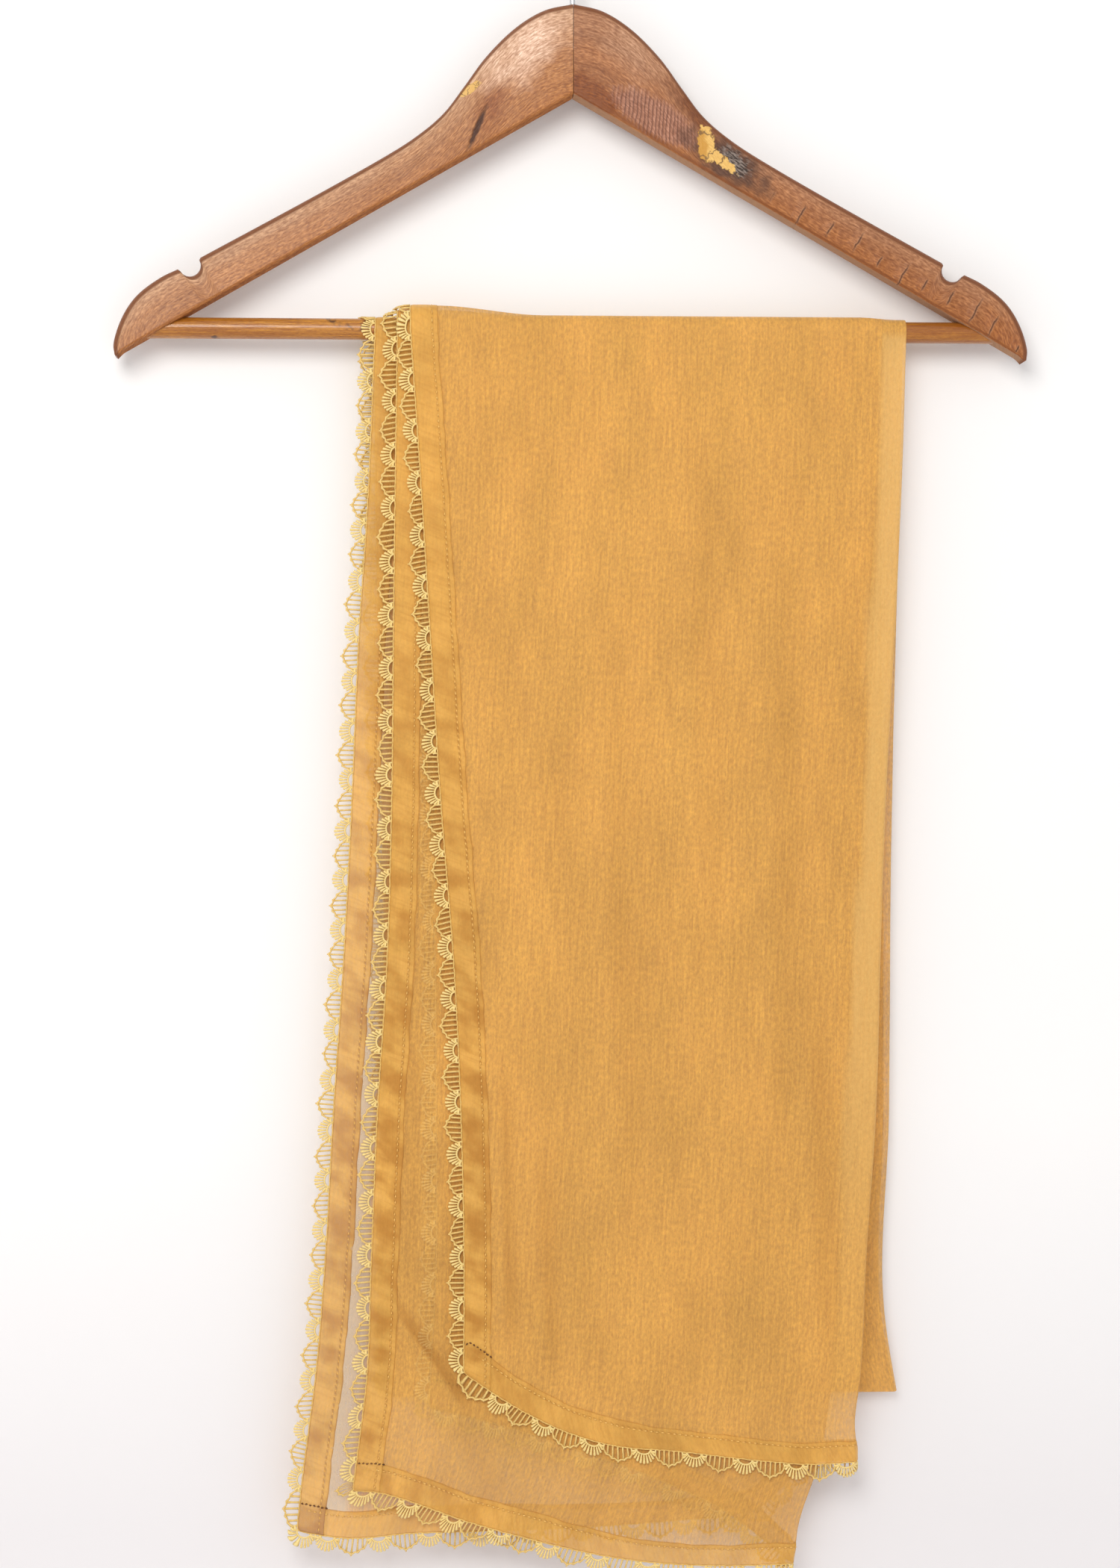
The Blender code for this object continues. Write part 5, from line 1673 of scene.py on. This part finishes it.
class STOLE_OT_cloth(bpy.types.Operator):
    """Builds both ends of the chiffon inside their hems"""
    bl_idname = "stole.cloth"
    bl_label = "Cloth"

    def execute(self, context):
        for end in ("a", "b"):
            self.add_end(end)
        return {"FINISHED"}

    def add_end(self, end):
        """One end as one sheet: both leaves and the fold across, front fall to back turn along."""
        inset = HEM_WIDTH - HEM_OVERLAP
        outer = np.linspace(-2, -1, 56, endpoint=False)
        inner = np.linspace(1, 2, 76)
        station = np.concatenate([outer, np.linspace(-1, 1, 10), inner[1:]])
        floor = floor_along(end, lambda along: across_at(end, station, along, inset),
                            short_width(end, station) - HEM_OVERLAP)
        along = rows_from(floor, (4.2, 14, 7.5))
        across = across_at(end, station[None, :], along, inset)
        ease = smoothstep(drop_of(along) / 50) * (1 - smoothstep((along - FLOOR_ALONG + 20) / 20))
        lift = 0.14 * wander(TAU * across / 17.0 + 0.4 * wander(along / 40, 1.1), 2.2)
        lift = lift + 0.08 * wander(TAU * across / 6.3 + 0.6 * wander(along / 25, 0.2), 3.7)
        clear = smoothstep((across - edge_across(end, "outer", along) - HEM_WIDTH) / 10)
        clear = clear * smoothstep((edge_across(end, "inner", along) - across - HEM_WIDTH) / 10)
        clear = clear * smoothstep((inside_short(end, across, along) - HEM_WIDTH) / 10)
        lift = lift * clear * ease + ruffle(end, across, along)
        points = on_cloth(end, across, along, lift)
        rows, columns = across.shape
        quads = grid_faces(rows, columns)[:, ::-1]
        flat = np.stack([across + (0.0 if end == "a" else 900.0), along], axis=-1).reshape(-1, 2)
        shares = {"painted_crease_shade": self.painted_crease_shade_of, "thin": self.see_through_light_of, "bare": self.bare_of}
        values = {name: share_of(end, across, along).ravel() for name, share_of in shares.items()}
        piece = make_piece("stole_end_" + end, points.reshape(-1, 3), [quads], chiffon(), flat,
                           values)
        nodes = ["end_" + end + "_" + stretch for stretch in STRETCHES]
        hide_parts(*nodes, *(["mid_fold_outer", "mid_fold_inner"] if end == "a" else []))

    def painted_crease_shade_of(self, end, across, along):
        """Share of painted shade on the right slope of each crease, from its change across 3 mm, and low on
        end B.
        """
        place = place_across(end, across, along)
        height = BAR_HEIGHT - drop_of(along)
        total = 0.0
        for part, side in (("outer", across < 0), ("inner", across >= 0)):
            for table, stretch in ((FRONT_CREASES, along < 0), (BACK_CREASES, along > OVER_BAR)):
                left = crease_lift(end + "_" + part, place - 1.5, height, table)
                right = crease_lift(end + "_" + part, place + 1.5, height, table)
                total = total + np.clip(left - right, 0, 1) * side * stretch
        low = smoothstep((-along - 530) / 40) * (across < 0) * (end == "b")
        return total + 0.22 * low

    def bare_of(self, end, across, along):
        """1 where the inner leaf of end A hangs past the sewn edge of end B's outer leaf, and 0 elsewhere;
        there the cover is thinner and painted shade of the wall shows through.
        """
        place = place_across(end, across, along)
        past = smoothstep((column("b_outer", along) - place) / 2.0) * (across > 0) * (along < 0)
        return past * (end == "a")

    def see_through_light_of(self, end, across, along):
        """1 where the outer leaf of end A hangs past end B's fold in the front, fading out low down: the mask
        of painted light shining through.
        """
        place = place_across(end, across, along)
        past = smoothstep((place - column("b_fold", along) + 0.5) / 1.5) * (across < 0) * (along < 0)
        return past * (end == "a") * smoothstep((along + 520) / 200)


class STOLE_OT_hems(bpy.types.Operator):
    """Builds the turned hems along the long and the short edges"""
    bl_idname = "stole.hems"
    bl_label = "Hems"

    def execute(self, context):
        for end in ("a", "b"):
            made = [long_hem(end, "outer"), long_hem(end, "inner"), short_hem(end)]
            points, quads, caps = join([part[:3] for part in made])
            flat = np.concatenate([part[3] for part in made])
            values = {"inward": np.concatenate([part[4] for part in made]),
                      "beside": np.concatenate([part[5] for part in made]),
                      "corner": np.concatenate([part[6] for part in made])}
            piece = make_piece("hems_end_" + end, points, [quads, caps], hem_cloth(), flat,
                               values)
            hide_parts(*edge_nodes("hem", end))
        return {"FINISHED"}


class STOLE_OT_lace(bpy.types.Operator):
    """Builds the scalloped lace along the sewn edges"""
    bl_idname = "stole.lace"
    bl_label = "Lace"

    def execute(self, context):
        for end in ("a", "b"):
            points, quads, caps, flat, fan = lace_mesh(end)
            piece = make_piece("lace_end_" + end, points, [quads, caps], lace_thread(), flat,
                               {"fan": fan})
            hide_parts(*edge_nodes("lace", end))
        return {"FINISHED"}


# Stitches: length and gap, and how high the seam lies, as a share of half the hem's thickness
SEAM_STITCH = (2.1, 0.7)
CORNER_STITCH = (1.7, 0.4)
SEAM_SHARE = 0.62


class STOLE_OT_stitches(bpy.types.Operator):
    """Builds the stitches of the hems and the brown stitches at the corners"""
    bl_idname = "stole.stitches"
    bl_label = "Stitches"

    def execute(self, context):
        hem_half = stole_sizes().hem_thickness / MM / 2
        for end in ("a", "b"):
            lines, brown = [], []
            for part, sign in (("outer", 1), ("inner", -1)):
                inward = sign * STITCH_PLACE

                def place_of(along, part=part, inward=inward):
                    return edge_across(end, part, along) + inward

                floor = float(floor_along(end, place_of, 0.5))
                along = np.linspace(floor, FLOOR_ALONG, 700)
                wave = ruffle(end, place_of(along), along)
                for skin in (1, -1):
                    lift = wave + skin * SEAM_SHARE * hem_half
                    lines.append(stitch_line(end, place_of(along), along, lift, 0.3, *SEAM_STITCH))
                rise = HEM_WIDTH
                station = np.linspace(0, HEM_WIDTH + 1.5, 24)
                across = edge_across(end, part, floor + rise) + sign * station
                height = short_edge(end, across, np.full(24, floor))
                line = height[0] + rise * np.sqrt(1 + height[1] ** 2)
                for skin in (1, -1):
                    lift = ruffle(end, across, line) + skin * 1.15 * hem_half
                    zigzag = line + 0.25 * np.sin(station * 2.2)
                    brown.append(stitch_line(end, across, zigzag, lift, 0.5, *CORNER_STITCH))
            outer = np.linspace(-2, -1, 220)
            station = np.concatenate([outer, np.linspace(-1, 1, 24), -outer[::-1]])

            def short_place(along, station=station):
                return across_at(end, station, along, 1.0)

            along = floor_along(end, short_place, STITCH_PLACE * short_width(end, station) / HEM_WIDTH)
            across = short_place(along)
            wave = ruffle(end, across, along)
            for skin in (1, -1):
                lift = wave + skin * SEAM_SHARE * hem_half
                lines.append(stitch_line(end, across, along, lift, 0.34, *SEAM_STITCH))
            points, faces = join_stitches(lines)
            make_piece("stitches_end_" + end, points, [faces], sewing_thread())
            points, faces = join_stitches(brown)
            make_piece("corner_stitches_end_" + end, points, [faces], corner_thread())
        return {"FINISHED"}


class STOLE_OT_sheets(bpy.types.Operator):
    """Last step, which leaves the scene as it is"""
    bl_idname = "stole.sheets"
    bl_label = "Sheets"

    def execute(self, context):
        return {"FINISHED"}


class STOLE_PT_panel(bpy.types.Panel):
    """Sidebar panel with the settings and one button for each step"""
    bl_idname = "STOLE_PT_panel"
    bl_label = "Stole"
    bl_space_type = "VIEW_3D"
    bl_region_type = "UI"
    bl_category = "Stole"

    def draw(self, context):
        for settings in (context.scene.stole_sizes, context.scene.hanger_sizes, context.scene.stage_settings):
            box = self.layout.box()
            for key in settings.bl_rna.properties.keys():
                if key not in ("rna_type", "name"):
                    box.prop(settings, key)
        for operator in OPERATORS:
            self.layout.operator(operator.bl_idname)


OPERATORS = (STOLE_OT_stage, STOLE_OT_hanger, STOLE_OT_cloth, STOLE_OT_hems, STOLE_OT_lace, STOLE_OT_stitches,
             STOLE_OT_sheets)
CLASSES = (StoleSettings, HangerSettings, StageSettings, *OPERATORS, STOLE_PT_panel)


def register():
    """Registers the classes and the settings of the scene."""
    for each in CLASSES:
        bpy.utils.register_class(each)
    bpy.types.Scene.stole_sizes = bpy.props.PointerProperty(type=StoleSettings)
    bpy.types.Scene.hanger_sizes = bpy.props.PointerProperty(type=HangerSettings)
    bpy.types.Scene.stage_settings = bpy.props.PointerProperty(type=StageSettings)


def unregister():
    """Takes the settings and the classes away again."""
    for name in ("stole_sizes", "hanger_sizes", "stage_settings"):
        delattr(bpy.types.Scene, name)
    for each in reversed(CLASSES):
        bpy.utils.unregister_class(each)


def main():
    """Runs every operator in order."""
    register()
    bpy.ops.stole.stage()
    bpy.ops.stole.hanger()
    bpy.ops.stole.cloth()
    bpy.ops.stole.hems()
    bpy.ops.stole.lace()
    bpy.ops.stole.stitches()
    bpy.ops.stole.sheets()
    bpy.context.view_layer.update()


if __name__ == "__main__":
    main()
